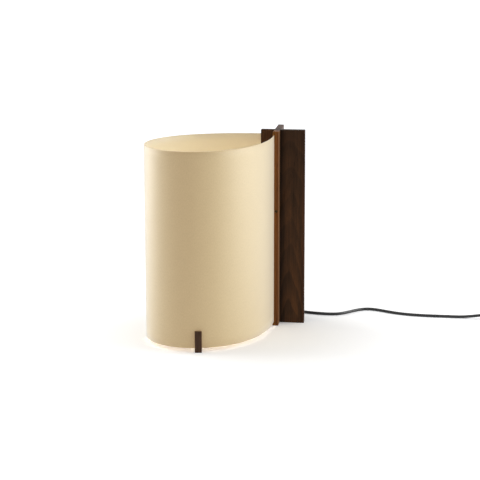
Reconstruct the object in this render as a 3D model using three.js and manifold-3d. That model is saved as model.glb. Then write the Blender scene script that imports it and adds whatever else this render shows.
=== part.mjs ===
// A table lamp. Two walnut boards are halved into each other and stand as a cross. One stiff sheet
// is curled through three quarters of a turn, and its two edges stand in kerfs in the short wings.
// A small walnut foot carries the sheet's front rim, and a bulb stands in the middle of the curl.
// Millimetres, +Z up. The origin is the middle of the cross on the table. +X runs along the long
// wing of the side board, and +Y along the long wing of the depth board.
import * as THREE from "three";
import { mergeVertices } from "three/addons/utils/BufferGeometryUtils.js";
import Module from "manifold-3d";

// Fits that all pieces share
const slip = 0.3;
const overrun = 2;
const weldGap = 0.001;

// Post
const postHigh = 400;
const boardThick = 12;
const wingShort = 33;
const sideWingLong = 56;
const depthWingLong = 66;
const arris = 0.6;
const lapShare = 0.5;

// Kerfs and sheet
const kerfInset = 3.6;
const kerfDeep = 8;
const sheetThick = 1;
const sheetLow = 8;
const sheetHigh = postHigh - 2 * sheetLow;
const curlLength = 718;
const curlTurn = 1.5 * Math.PI;
const curlSteps = 72;

// Foot under the sheet's front rim
const footPlaceShare = 0.635;
const footWide = 13.5;
const footHigh = 42;
const footLip = 5;
const footHeel = 11;
const footArris = 0.5;
const footCurveRoom = 0.2;

// Screw that locks the halved joint, through the front edge of the depth board
const lockScrewShare = 0.595;
const lockScrewHigh = postHigh * lockScrewShare;
const lockScrewLong = 34;
const lockScrewRadius = 2;
const lockHeadRadius = 3;
const lockHeadDeep = 2.2;

// Cord, and the lead inside the lamp
const cordRadius = 3;
const glandFlangeRadius = 7;
const leadHigh = 20;
const leadOut = boardThick / 2 + glandFlangeRadius + 2 * slip;
const leadBend = 24;
const leadTurnOut = 8;
const leadDrop = 3;

// Bracket in the inner corner of the cross
const armThick = 3;
const stemBelow = 10;
const armTop = leadHigh + leadBend + leadDrop + stemBelow + armThick;
const armWide = 18;
const leafLong = 19;
const leafHigh = 42;
const leafThick = 2;
const leafScrewBack = 11;
const leafScrewLow = 12;
const leafScrewApart = 18;
const leafScrewLong = 9;
const leafScrewRadius = 1.6;
const panHeadRadius = 3.1;
const panHeadHigh = 2;

// Threaded stem, its nut and its sleeve
const stemRoom = 0.4;
const stemWall = 1.6;
const stemBore = cordRadius + stemRoom;
const stemRadius = stemBore + stemWall;
const nutAcrossShare = 2.8;
const nutAcross = stemRadius * nutAcrossShare;
const nutHigh = 4;
const sleeveWall = 1.7;
const sleeveRadius = stemRadius + slip + sleeveWall;
const sleeveHigh = 40;

// Lampholder
const capNeckStep = 2;
const capNeckRadius = sleeveRadius + capNeckStep;
const capNeckHigh = 4;
const capFlareHigh = 12;
const capHigh = 28;
const holderRadius = 20.5;
const holderWall = 2;
const skirtNeckHigh = 8;
const skirtHigh = 32;
const skirtWall = 4;
const skirtBore = holderRadius - skirtWall;
const skirtLipHigh = 6;
const skirtLipIn = 1.2;
const insertBossRadius = 9;
const insertNoseRoom = 0.7;
const insertNoseRadius = skirtBore - insertNoseRoom;
const insertNoseHigh = 6;
const shellRoom = 2.6;
const shellWall = 0.5;
const shellRadius = skirtBore - shellRoom - shellWall;
const shellHigh = 24;
const contactWide = 6;
const contactThick = 0.5;
const contactHigh = 3;
const contactFootShare = 0.75;
const recessLongShare = 0.62;
const recessWideShare = 0.26;

// Bulb
const bulbTipRadius = 4.6;
const bulbTipHigh = 1.2;
const bulbCapTurnIn = 2.1;
const bulbInsulatorRadius = shellRadius - slip - bulbCapTurnIn;
const bulbInsulatorHigh = 3.5;
const bulbCapHigh = 22;
const bulbCapWall = 0.5;
const bulbGlassWall = 1;
const bulbNeckStep = 0.6;
const bulbNeckRadius = shellRadius + bulbNeckStep;
const bulbNeckHigh = 8;
const bulbShoulderHigh = 45;
const bulbRadius = 30;
const glassRings = 7;
const glassEaseShare = 0.8;

// Saddle that holds the lead
const saddleAlong = 20;
const saddleWide = 8;
const saddleThick = 1.4;
const saddleBaseThick = leadOut - boardThick / 2 - cordRadius - slip - saddleThick / 2;
const saddleBaseHigh = 22;
const saddleScrewUp = 11;
const saddleScrewLong = 9;

// Gland where the cord leaves the post
const glandPlugRadius = 4.2;
const glandPlugLong = 8;
const glandFlangeThick = 2;
const glandTailRadius = 5.2;
const glandTipRadius = 3.9;
const glandTailLong = 32;
const glandRibs = 5;
const glandGrooveDeep = 0.7;

// Route of the cord from the gland round the depth board's wing, chosen by hand. The first list
// gives how far each point lies to the right of the gland and how far it rises above it. The
// second gives how far out it lies, as a share of the way from the gland's tip to where the cord
// clears the wing.
const floorGap = 0.1;
const cordFloor = cordRadius + floorGap;
const glandTipY = boardThick / 2 + slip + glandFlangeThick + glandTailLong;
const wingRoom = 16.2;
const roundWing = [
  [0, 0], [0, -0.4], [0.8, -2], [4, -4.8], [10.8, -8.2], [20.1, -11.6], [31.1, -14.4],
];
const roundWingShares = [0, 0.18, 0.4, 0.63, 0.83, 0.963, 1];

// Route on to the switch, chosen by hand: places along X and Y, and the height above the floor
const routeToSwitch = [
  [29, 80, 0.8], [40.5, 75.6, 0], [52, 70.8, 0], [64, 67, 0], [76, 64.3, 0], [88, 62.4, 0],
  [100, 61.4, 0], [113, 62.2, 0], [125, 67, 0], [137, 77, 0], [148.5, 89.6, 0], [160, 101.4, 0],
  [172, 109.4, 0], [185, 111.4, 0], [198, 108, 0], [211, 101.4, 0], [224, 94.2, 0],
  [237, 87.6, 0], [250, 82.4, 0], [272, 76.6, 0], [296, 73.4, 0], [322, 72.2, 0],
  [350, 71.8, 0], [378, 71, 0.5], [398, 70.2, 2.5], [412, 70, 4.5], [422, 70, 5.4],
];
const routeSteps = 44;

// Hand switch on the cord
const switchLowX = 450;
const switchY = 70;
const switchLong = 60;
const switchWide = 29;
const switchEndWide = 15;
const switchHigh = 19;
const switchSplitShare = 0.4474;
const switchSplit = switchHigh * switchSplitShare;
const switchRound = 2.4;
const switchSeam = 0.3;
const switchFloor = 3;
const switchRoof = 3;
const switchSideWall = 6.5;
const cavityLong = 32;
const cavityWide = switchWide - 2 * switchSideWall;
const rockerRoomAside = 0.4;
const rockerRoomAlong = 1.4;
const rockerShoulder = 2.4;
const rockerLong = 15.2;
const windowLong = rockerLong + 2 * rockerRoomAlong;
const windowWide = cavityWide - 2 * rockerShoulder;
const rockerWide = windowWide - 2 * rockerRoomAside;
const rockerCentreUp = 4.6;
const rockerEndUp = 6.2;
const rockerSkirtUp = 0.5;
const rockerNubDown = 4;
const rockerNubRadius = 1.4;
const rockerTilt = (7 * Math.PI) / 180;
const pivotRadius = 1.2;
const pivotSeat = 3;
const pivotLong = cavityWide + 2 * pivotSeat;
const pivotDrop = 4.5;
const pivotHigh = switchHigh - pivotDrop;
const terminalLong = 7;
const terminalWide = 9;
const terminalBelowNub = 2.5;
const terminalHigh = pivotHigh - rockerNubDown - terminalBelowNub - switchFloor;
const terminalBoreShare = 0.26;
const terminalBore = terminalHigh * terminalBoreShare;
const bladeThick = 0.5;
const bladeWide = 5;
const bladeCrest = 3;
const caseScrewAlong = 21;
const caseScrewAsideShare = 0.283;
const caseScrewAside = switchWide * caseScrewAsideShare;
const caseScrewRadius = 1.3;
const caseScrewHeadRadius = 2.4;
const caseScrewHeadHigh = 1.6;
const caseScrewLong = 13;
const reliefPlugRadius = 4.2;
const reliefPlugLong = 5;
const reliefRootRadius = 4.8;
const reliefTipRadius = 3.8;
const reliefLong = 20;
const reliefRibs = 3;
const reliefGrooveDeep = 0.6;

// Route of the cord from the switch to the coil, chosen by hand: how far past the relief, the
// place along Y, and the height above the floor
const routeToCoil = [
  [5, 70, 5.4], [16, 67.9, 4.9], [25, 61.8, 3.9], [31, 52.7, 2.9], [33, 42, 2.1], [31, 31.3, 1.7],
  [25, 22.2, 1.6], [16, 16.1, 1.6], [5, 14, 1.6],
];
const routeToCoilSteps = 20;

// Coil, its tie and the plug
const coilX = 488;
const coilTopY = 14;
const coilRadius = 41.5;
const coilRoom = 0.5;
const coilPitch = 2 * cordRadius + coilRoom;
const coilTurns = 5.5;
const coilSides = 6;
const coilStepsPerTurn = 24;
const tieThick = 0.8;
const tieRoom = 0.8;
const tieWide = 6;
const tieRound = 2.5;
const tiePlaceTurns = 0.25;
const plugLong = 36;
const plugFaceWide = 35;
const plugWaistWide = 18;
const plugBackWide = 14;
const plugHigh = 13.6;
const plugRound = 2;
const plugWaistShare = 0.4;
const plugShoulderShare = 0.75;
const pinApart = 19;
const pinRadius = 2;
const pinLong = 19;
const pinSleeveLong = 10;
const pinSleeveRadius = 1.9;
const pinCoreRadius = 1.1;
const pinCoreDeep = 6;
const plugTailLong = 24;
const plugTailRoot = 5;
const plugTailTip = 3.9;
const plugTailRibs = 4;
const plugTailGroove = 0.7;
const plugTailIn = 3;
const tailSpan = 30;
const plugRunShares = [0, 0.2, 0.5, 0.8, 1];
const plugDropShares = [0, 0, 0.5, 1, 1];
const plugRunSteps = 8;

const walnut = new THREE.MeshStandardMaterial({ color: 0x3b2618, roughness: 0.55, metalness: 0 });
const walnutEdge = new THREE.MeshStandardMaterial({ color: 0x5e3a1e, roughness: 0.5, metalness: 0 });
const parchment = new THREE.MeshStandardMaterial({ color: 0xe0cfae, roughness: 0.8, metalness: 0 });
const blackSteel = new THREE.MeshStandardMaterial({ color: 0x1c1c1c, roughness: 0.5, metalness: 0.8 });
const zincSteel = new THREE.MeshStandardMaterial({ color: 0xb8babd, roughness: 0.35, metalness: 1 });
const brass = new THREE.MeshStandardMaterial({ color: 0xb08d4a, roughness: 0.35, metalness: 1 });
const blackPlastic = new THREE.MeshStandardMaterial({ color: 0x151515, roughness: 0.45, metalness: 0 });
const ceramic = new THREE.MeshStandardMaterial({ color: 0xe9e6df, roughness: 0.4, metalness: 0 });
const opalGlass = new THREE.MeshStandardMaterial({ color: 0xf6f1e6, roughness: 0.3, metalness: 0 });
const blackRubber = new THREE.MeshStandardMaterial({ color: 0x121212, roughness: 0.6, metalness: 0 });

const wasm = await Module();
wasm.setup();

// A closed geometry as a solid that can be cut and joined.
function solidOf(geometry) {
  const plain = geometry.index ? geometry.toNonIndexed() : geometry.clone();
  plain.deleteAttribute("normal");
  plain.deleteAttribute("uv");
  const merged = mergeVertices(plain, weldGap);
  return new wasm.Manifold(new wasm.Mesh({
    numProp: 3,
    vertProperties: merged.attributes.position.array,
    triVerts: new Uint32Array(merged.index.array),
  }));
}

function geometryOf(solid) {
  const mesh = solid.getMesh();
  const geometry = new THREE.BufferGeometry();
  geometry.setAttribute("position", new THREE.BufferAttribute(mesh.vertProperties, 3));
  geometry.setIndex(new THREE.BufferAttribute(mesh.triVerts, 1));
  geometry.computeVertexNormals();
  return geometry;
}

function cut(base, ...tools) {
  return geometryOf(tools.reduce((left, tool) => left.subtract(solidOf(tool)), solidOf(base)));
}

function join(first, ...others) {
  return geometryOf(others.reduce((sum, other) => sum.add(solidOf(other)), solidOf(first)));
}

function box(low, high) {
  const geometry = new THREE.BoxGeometry(high[0] - low[0], high[1] - low[1], high[2] - low[2]);
  geometry.translate((low[0] + high[0]) / 2, (low[1] + high[1]) / 2, (low[2] + high[2]) / 2);
  return geometry;
}

// A block between two corners, with all its edges eased at 45 degrees.
function easedBlock(low, high, ease) {
  const outline = new THREE.Shape();
  outline.moveTo(low[0] + ease, low[1]);
  outline.lineTo(high[0] - ease, low[1]);
  outline.lineTo(high[0], low[1] + ease);
  outline.lineTo(high[0], high[1] - ease);
  outline.lineTo(high[0] - ease, high[1]);
  outline.lineTo(low[0] + ease, high[1]);
  outline.lineTo(low[0], high[1] - ease);
  outline.lineTo(low[0], low[1] + ease);
  const geometry = roundedPrism(outline, high[2] - low[2], ease, 1);
  geometry.translate(0, 0, low[2]);
  return geometry;
}

// An outline raised from zero to a height, its rims rounded or eased inside the outline.
function roundedPrism(outline, high, round, rings) {
  const geometry = new THREE.ExtrudeGeometry(outline, {
    depth: high - 2 * round,
    bevelEnabled: true,
    bevelThickness: round,
    bevelSize: round,
    bevelOffset: -round,
    bevelSegments: rings,
    curveSegments: 6,
  });
  geometry.translate(0, 0, round);
  return geometry;
}

function plainPrism(outline, high) {
  return new THREE.ExtrudeGeometry(outline, { depth: high, bevelEnabled: false, curveSegments: 6 });
}

function turned(profile, sides) {
  const points = profile.map(([radius, along]) => new THREE.Vector2(radius, along));
  return new THREE.LatheGeometry(points, sides);
}

// Puts a piece that was turned along +Y so that it starts at a point and runs in a direction.
function aimed(geometry, start, direction) {
  const way = new THREE.Vector3(...direction).normalize();
  const up = new THREE.Vector3(0, 1, 0);
  geometry.applyQuaternion(new THREE.Quaternion().setFromUnitVectors(up, way));
  geometry.translate(...start);
  return geometry;
}

function rod(radius, long, start, direction, sides = 20) {
  return aimed(turned([[0, 0], [radius, 0], [radius, long], [0, long]], sides), start, direction);
}

function upright(profile, x, y, sides) {
  return aimed(turned(profile, sides), [x, y, 0], [0, 0, 1]);
}

// A regular polygon swept along a route.
function swept(route, radius, sides, steps) {
  const section = new THREE.Shape();
  for (let i = 0; i < sides; i += 1) {
    const angle = (2 * Math.PI * i) / sides;
    section[i ? "lineTo" : "moveTo"](radius * Math.cos(angle), radius * Math.sin(angle));
  }
  return new THREE.ExtrudeGeometry(section, { steps, bevelEnabled: false, extrudePath: route });
}

function freeCord(points, steps) {
  const places = points.map((point) => new THREE.Vector3(...point));
  return swept(new THREE.CatmullRomCurve3(places, false, "centripetal"), cordRadius, 10, steps);
}

// A cross recess for a driver, cut into a head whose outer face lies at zero.
function driverCross(headRadius, deep) {
  const long = headRadius * recessLongShare;
  const wide = (headRadius * recessWideShare) / 2;
  return [
    box([-long, -overrun, -wide], [long, deep, wide]),
    box([-wide, -overrun, -long], [wide, deep, long]),
  ];
}

function countersunkScrew(headRadius, headDeep, radius, long, start, direction) {
  const profile = [[0, 0], [headRadius, 0], [radius, headDeep], [radius, long - 2 * radius], [0, long]];
  return aimed(cut(turned(profile, 16), ...driverCross(headRadius, headDeep / 2)), start, direction);
}

function panScrew(headRadius, headHigh, radius, long, start, direction) {
  const crown = headHigh / 2;
  const profile = [
    [0, -headHigh], [headRadius - crown, -headHigh], [headRadius, -crown], [headRadius, 0],
    [radius, 0], [radius, long - 2 * radius], [0, long],
  ];
  const head = driverCross(headRadius, headHigh / 2).map((tool) => tool.translate(0, -headHigh, 0));
  return aimed(cut(turned(profile, 16), ...head), start, direction);
}

// A tapered tail with shallow grooves, from its root at zero to its tip.
function ribbedTail(root, tip, long, ribs, grooveDeep) {
  const profile = [];
  const bay = long / (ribs + 1);
  for (let i = 1; i <= ribs; i += 1) {
    const radius = root + ((tip - root) * i) / (ribs + 1);
    profile.push([radius, bay * i - bay / 4], [radius - grooveDeep, bay * i - bay / 4]);
    profile.push([radius - grooveDeep, bay * i + bay / 4], [radius, bay * i + bay / 4]);
  }
  return [[root, 0], ...profile, [tip, long]];
}

const root = new THREE.Group();

function add(name, geometry, material) {
  const mesh = new THREE.Mesh(geometry, material);
  mesh.name = name;
  root.add(mesh);
  return mesh;
}

// The curl's heading: it starts along -X and turns left by three quarters of a turn. The swell is
// how much more it turns in the middle than near the kerfs, where the boards hold it straight.
function curlHeading(share, swell) {
  return Math.PI + curlTurn * share - swell * Math.sin(2 * Math.PI * share);
}

// Walks along the curl and gives the middle of the sheet and its heading at each step.
function walkCurl(swell) {
  const places = [{ x: -wingShort, y: -kerfInset, heading: curlHeading(0, swell) }];
  for (let i = 0; i < curlSteps; i += 1) {
    const last = places[i];
    const middle = curlHeading((i + 1 / 2) / curlSteps, swell);
    const step = curlLength / curlSteps;
    places.push({
      x: last.x + step * Math.cos(middle),
      y: last.y + step * Math.sin(middle),
      heading: curlHeading((i + 1) / curlSteps, swell),
    });
  }
  return places;
}

// The swell that brings the sheet's far edge to the kerf in the depth board, by halving.
function solveSwell() {
  let low = 0;
  let high = 1;
  for (let i = 0; i < 50; i += 1) {
    const middle = (low + high) / 2;
    const end = walkCurl(middle)[curlSteps];
    if (end.x > -kerfInset) low = middle;
    else high = middle;
  }
  return (low + high) / 2;
}

// The place between two steps of the curl that lies at a share of its length.
function placeOnCurl(share) {
  const step = Math.floor(share * curlSteps);
  const part = share * curlSteps - step;
  const between = (key) => curl[step][key] * (1 - part) + curl[step + 1][key] * part;
  return { x: between("x"), y: between("y"), heading: between("heading") };
}

const curl = walkCurl(solveSwell());
const lampX = (Math.min(...curl.map((place) => place.x)) - kerfInset) / 2;
const lampY = (Math.min(...curl.map((place) => place.y)) - kerfInset) / 2;

// The two boards
const half = boardThick / 2;
const kerfHalf = sheetThick / 2 + slip;
const lapHigh = postHigh * lapShare;
const lockScrewX = (half - kerfInset + kerfHalf) / 2;
const pilot = leafScrewRadius + slip;
const leafScrewHighs = [0, 1].map((i) => armTop - armThick + leafScrewLow + i * leafScrewApart);
const leafScrewAt = -half - leafScrewBack;

function sideBoard() {
  const board = easedBlock([-wingShort, -half, 0], [sideWingLong, half, postHigh], arris);
  const kerf = box(
    [-wingShort - overrun, -kerfInset - kerfHalf, sheetLow - slip],
    [-wingShort + kerfDeep, -kerfInset + kerfHalf, postHigh + overrun],
  );
  const lap = box(
    [-half - slip, -half - overrun, -overrun],
    [half + slip, half + overrun, lapHigh + slip / 2],
  );
  const cordHole = rod(
    glandPlugRadius + slip, boardThick + 2 * overrun, [-leadOut, -half - overrun, leadHigh], [0, 1, 0],
  );
  const lockHole = rod(
    lockScrewRadius + slip, lockScrewLong - wingShort + half + overrun + slip,
    [lockScrewX, -half - overrun, lockScrewHigh], [0, 1, 0], 12,
  );
  const pilots = leafScrewHighs.map((high) => (
    rod(pilot, leafScrewLong + slip + overrun, [leafScrewAt, -half - overrun, high], [0, 1, 0], 12)
  ));
  return cut(board, kerf, lap, cordHole, lockHole, ...pilots);
}

function depthBoard() {
  const board = easedBlock([-half, -wingShort, 0], [half, depthWingLong, postHigh], arris);
  const kerf = box(
    [-kerfInset - kerfHalf, -wingShort - overrun, sheetLow - slip],
    [-kerfInset + kerfHalf, -wingShort + kerfDeep, postHigh + overrun],
  );
  const lap = box(
    [-half - overrun, -half - slip, lapHigh - slip / 2],
    [half + overrun, half + slip, postHigh + overrun],
  );
  const lockShank = rod(
    lockScrewRadius + slip, wingShort, [lockScrewX, -wingShort - overrun, lockScrewHigh], [0, 1, 0], 16,
  );
  const sink = turned([
    [0, -overrun], [lockHeadRadius + slip, -overrun], [lockHeadRadius + slip, slip],
    [lockScrewRadius + slip, lockHeadDeep + slip], [0, lockHeadDeep + slip],
  ], 16);
  const lockSink = aimed(sink, [lockScrewX, -wingShort, lockScrewHigh], [0, 1, 0]);
  const pilots = leafScrewHighs.map((high) => (
    rod(pilot, leafScrewLong + slip + overrun, [-half - overrun, leafScrewAt, high], [1, 0, 0], 12)
  ));
  const saddlePilot = rod(
    pilot, saddleScrewLong + overrun, [-half - overrun, -saddleAlong, leadHigh + saddleScrewUp],
    [1, 0, 0], 12,
  );
  return cut(board, kerf, lap, lockShank, lockSink, ...pilots, saddlePilot);
}

function lockScrew() {
  return countersunkScrew(
    lockHeadRadius, lockHeadDeep, lockScrewRadius, lockScrewLong,
    [lockScrewX, -wingShort + slip, lockScrewHigh], [0, 1, 0],
  );
}

// The sheet is a band on both sides of the curl's middle line, with a straight edge in each kerf.
function sheet() {
  const reach = kerfDeep - slip;
  const first = curl[0];
  const last = curl[curlSteps];
  const middle = [
    { x: first.x - reach * Math.cos(first.heading), y: first.y, heading: first.heading },
    ...curl,
    { x: last.x, y: last.y + reach * Math.sin(last.heading), heading: last.heading },
  ];
  const aside = (place, offset) => new THREE.Vector2(
    place.x - offset * Math.sin(place.heading),
    place.y + offset * Math.cos(place.heading),
  );
  const outer = middle.map((place) => aside(place, -sheetThick / 2));
  const inner = middle.map((place) => aside(place, sheetThick / 2)).reverse();
  const geometry = plainPrism(new THREE.Shape([...outer, ...inner]), sheetHigh);
  geometry.translate(0, 0, sheetLow);
  return geometry;
}

// The foot is a block seen from its side, slotted from the top, and set square to the sheet.
function foot() {
  const slot = sheetThick / 2 + slip + footCurveRoom;
  const outline = new THREE.Shape();
  outline.moveTo(-slot - footLip, 0);
  outline.lineTo(slot + footHeel, 0);
  outline.lineTo(slot + footHeel, footHigh);
  outline.lineTo(slot, footHigh);
  outline.lineTo(slot, sheetLow - slip);
  outline.lineTo(-slot, sheetLow - slip);
  outline.lineTo(-slot, footHigh);
  outline.lineTo(-slot - footLip, footHigh);
  const geometry = roundedPrism(outline, footWide, footArris, 1);
  geometry.translate(0, 0, -footWide / 2);
  const place = placeOnCurl(footPlaceShare);
  const along = new THREE.Vector3(Math.cos(place.heading), Math.sin(place.heading), 0);
  const inward = new THREE.Vector3(-Math.sin(place.heading), Math.cos(place.heading), 0);
  geometry.applyMatrix4(new THREE.Matrix4().makeBasis(inward, new THREE.Vector3(0, 0, 1), along));
  geometry.translate(place.x, place.y, 0);
  return geometry;
}

// A flat arm runs out on the diagonal from the corner of the cross, and two leaves stand on its root.
function bracket() {
  const reach = Math.hypot(lampX + half, lampY + half);
  const side = armWide / 2;
  const plan = new THREE.Shape();
  plan.moveTo(0, 0);
  plan.lineTo(side, -side);
  plan.lineTo(reach, -side);
  plan.absarc(reach, 0, side, -Math.PI / 2, Math.PI / 2, false);
  plan.lineTo(side, side);
  const arm = plainPrism(plan, armThick);
  arm.rotateZ(Math.atan2(lampY + half, lampX + half));
  arm.translate(-half, -half, armTop - armThick);
  const low = armTop - armThick;
  const sideLeaf = box([-half - leafLong, -half - leafThick, low], [-half, -half, low + leafHigh]);
  const depthLeaf = box([-half - leafThick, -half - leafLong, low], [-half, -half, low + leafHigh]);
  const holes = leafScrewHighs.flatMap((high) => [
    rod(pilot, leafThick + 2 * overrun, [leafScrewAt, -half - leafThick - overrun, high], [0, 1, 0], 12),
    rod(pilot, leafThick + 2 * overrun, [-half - leafThick - overrun, leafScrewAt, high], [1, 0, 0], 12),
  ]);
  const stemHole = rod(stemRadius + slip, armThick + 2 * overrun, [lampX, lampY, low - overrun], [0, 0, 1]);
  return cut(join(arm, sideLeaf, depthLeaf), ...holes, stemHole);
}

const armLow = armTop - armThick;
const stemLow = armLow - stemBelow;
const capLow = armTop + sleeveHigh;
const capTop = capLow + capHigh;
const capFloor = capLow + capNeckHigh + holderWall;
const flareTop = capLow + capFlareHigh + holderWall;
const rimLow = flareTop + slip;
const rimTop = capTop - skirtNeckHigh - slip;
const noseTop = rimTop + insertNoseHigh;
const stemTop = capFloor + holderWall;
const leadTop = stemTop - slip;
const skirtNeck = holderRadius - holderWall - slip;
const skirtTop = capTop + skirtHigh;

function stem() {
  return upright([
    [stemBore, stemLow], [stemRadius, stemLow], [stemRadius, stemTop], [stemBore, stemTop],
    [stemBore, stemLow],
  ], lampX, lampY, 20);
}

function stemNut() {
  const corner = nutAcross / Math.sqrt(3);
  const bore = stemRadius + slip;
  const nut = new THREE.CylinderGeometry(corner, corner, nutHigh, 6);
  return cut(
    aimed(nut, [lampX, lampY, armLow - nutHigh / 2], [0, 0, 1]),
    rod(bore, nutHigh + 2 * overrun, [lampX, lampY, armLow - nutHigh - overrun], [0, 0, 1]),
  );
}

function stemSleeve() {
  const bore = stemRadius + slip;
  return upright([
    [bore, armTop], [sleeveRadius, armTop], [sleeveRadius, capLow], [bore, capLow], [bore, armTop],
  ], lampX, lampY, 24);
}

// The holder's lower cup: a neck round the stem, a flare, and a straight wall open at the top.
function holderCap() {
  const bore = stemRadius + slip;
  const inner = holderRadius - holderWall;
  return upright([
    [bore, capLow], [capNeckRadius, capLow], [capNeckRadius, capLow + capNeckHigh],
    [holderRadius, capLow + capFlareHigh], [holderRadius, capTop], [inner, capTop],
    [inner, flareTop], [capNeckRadius, capFloor], [bore, capFloor], [bore, capLow],
  ], lampX, lampY, 32);
}

// The holder's upper skirt screws into the cup with its neck and stands on the cup's rim.
function holderSkirt() {
  return upright([
    [skirtBore, capTop - skirtNeckHigh], [skirtNeck, capTop - skirtNeckHigh],
    [skirtNeck, capTop + slip], [holderRadius, capTop + slip],
    [holderRadius, skirtTop - skirtLipHigh], [holderRadius - skirtLipIn, skirtTop],
    [skirtBore, skirtTop], [skirtBore, capTop - skirtNeckHigh],
  ], lampX, lampY, 32);
}

// The ceramic insert is clamped by its rim between the cup and the skirt's neck.
function holderInsert() {
  return upright([
    [0, stemTop + slip], [insertBossRadius, stemTop + slip], [insertBossRadius, rimLow],
    [skirtNeck - slip, rimLow], [skirtNeck - slip, rimTop], [insertNoseRadius, rimTop],
    [insertNoseRadius, noseTop], [0, noseTop],
  ], lampX, lampY, 28);
}

function holderShell() {
  const outer = shellRadius + shellWall;
  return upright([
    [shellRadius, noseTop], [outer, noseTop], [outer, noseTop + shellHigh],
    [shellRadius, noseTop + shellHigh], [shellRadius, noseTop],
  ], lampX, lampY, 32);
}

// A bowed tongue of sheet brass: two feet on the insert and a crown under the bulb's tip.
function centreContact() {
  const foot = shellRadius * contactFootShare;
  const crown = bulbTipRadius / 2;
  const outline = new THREE.Shape();
  outline.moveTo(-foot, 0);
  outline.lineTo(-foot + contactHigh, 0);
  outline.lineTo(-crown, contactHigh - contactThick);
  outline.lineTo(crown, contactHigh - contactThick);
  outline.lineTo(foot - contactHigh, 0);
  outline.lineTo(foot, 0);
  outline.lineTo(foot, contactThick);
  outline.lineTo(foot - contactHigh + contactThick, contactThick);
  outline.lineTo(crown + contactThick, contactHigh);
  outline.lineTo(-crown - contactThick, contactHigh);
  outline.lineTo(-foot + contactHigh - contactThick, contactThick);
  outline.lineTo(-foot, contactThick);
  const geometry = plainPrism(outline, contactWide);
  geometry.rotateX(Math.PI / 2);
  geometry.translate(lampX, lampY + contactWide / 2, noseTop);
  return geometry;
}

const tipLow = noseTop + contactHigh + slip;
const insulatorLow = tipLow + bulbTipHigh;
const bulbCapLow = insulatorLow + bulbInsulatorHigh;
const bulbCapTop = bulbCapLow + bulbCapHigh;
const bulbCapRadius = shellRadius - slip;

function bulbTip() {
  return upright([
    [0, tipLow], [bulbTipRadius - bulbTipHigh / 2, tipLow], [bulbTipRadius, tipLow + bulbTipHigh / 2],
    [bulbTipRadius, insulatorLow], [0, insulatorLow],
  ], lampX, lampY, 20);
}

function bulbInsulator() {
  return upright([
    [0, insulatorLow], [bulbTipRadius, insulatorLow], [bulbInsulatorRadius, bulbCapLow], [0, bulbCapLow],
  ], lampX, lampY, 24);
}

function bulbCap() {
  const inner = bulbCapRadius - bulbCapWall;
  return upright([
    [bulbInsulatorRadius, bulbCapLow], [bulbCapRadius, bulbCapLow + bulbTipHigh],
    [bulbCapRadius, bulbCapTop], [inner, bulbCapTop],
    [inner, bulbCapLow + bulbTipHigh + bulbCapWall], [bulbInsulatorRadius, bulbCapLow + bulbCapWall],
    [bulbInsulatorRadius, bulbCapLow],
  ], lampX, lampY, 28);
}

// Half the glass's section: a neck, a shoulder that eases out to the widest ring, and a dome.
function glassProfile(wall) {
  const shoulder = bulbCapTop + bulbShoulderHigh;
  const neck = bulbCapTop + bulbNeckHigh;
  const wide = bulbRadius - wall;
  const narrow = bulbNeckRadius - wall;
  const profile = [[narrow - slip, bulbCapTop]];
  for (let i = 0; i <= glassRings; i += 1) {
    const ease = (1 - Math.cos((Math.PI * i) / glassRings)) / 2;
    const radius = narrow + (wide - narrow) * Math.pow(ease, glassEaseShare);
    profile.push([radius, neck + ((shoulder - neck) * i) / glassRings]);
  }
  for (let i = 1; i < glassRings; i += 1) {
    const angle = (Math.PI * i) / (2 * glassRings);
    profile.push([wide * Math.cos(angle), shoulder + wide * Math.sin(angle)]);
  }
  return [...profile, [0, shoulder + wide]];
}

function bulbGlass() {
  const profile = [...glassProfile(0), ...glassProfile(bulbGlassWall).reverse(), glassProfile(0)[0]];
  return upright(profile, lampX, lampY, 28);
}

// A round bend that starts at a point, heading one way, and leaves at a given angle to it.
class BendCurve extends THREE.Curve {
  constructor(start, heading, inward, radius, angle) {
    super();
    Object.assign(this, { start, heading, inward, radius, angle });
  }

  getPoint(share, target = new THREE.Vector3()) {
    const turn = this.angle * share;
    return target.copy(this.start)
      .addScaledVector(this.heading, this.radius * Math.sin(turn))
      .addScaledVector(this.inward, this.radius * (1 - Math.cos(turn)));
  }
}

// Straight runs between corners, with each corner rounded to a radius.
function roundedRoute(corners, radius) {
  const route = new THREE.CurvePath();
  let from = corners[0];
  for (let i = 1; i < corners.length - 1; i += 1) {
    const come = new THREE.Vector3().subVectors(corners[i], corners[i - 1]).normalize();
    const go = new THREE.Vector3().subVectors(corners[i + 1], corners[i]).normalize();
    const angle = come.angleTo(go);
    const leg = radius * Math.tan(angle / 2);
    const start = corners[i].clone().addScaledVector(come, -leg);
    const inward = go.clone().addScaledVector(come, -go.dot(come)).normalize();
    route.add(new THREE.LineCurve3(from, start));
    route.add(new BendCurve(start, come, inward, radius, angle));
    from = corners[i].clone().addScaledVector(go, leg);
  }
  route.add(new THREE.LineCurve3(from, corners[corners.length - 1]));
  return route;
}

// The lead drops through the stem, turns towards the post, and goes out through the side board.
function innerLead() {
  const corners = [
    new THREE.Vector3(lampX, lampY, leadTop),
    new THREE.Vector3(lampX, lampY, leadHigh),
    new THREE.Vector3(-leadOut, -wingShort - leadTurnOut, leadHigh),
    new THREE.Vector3(-leadOut, half - glandPlugLong - slip, leadHigh),
  ];
  return swept(roundedRoute(corners, leadBend), cordRadius, 10, 40);
}

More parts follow.
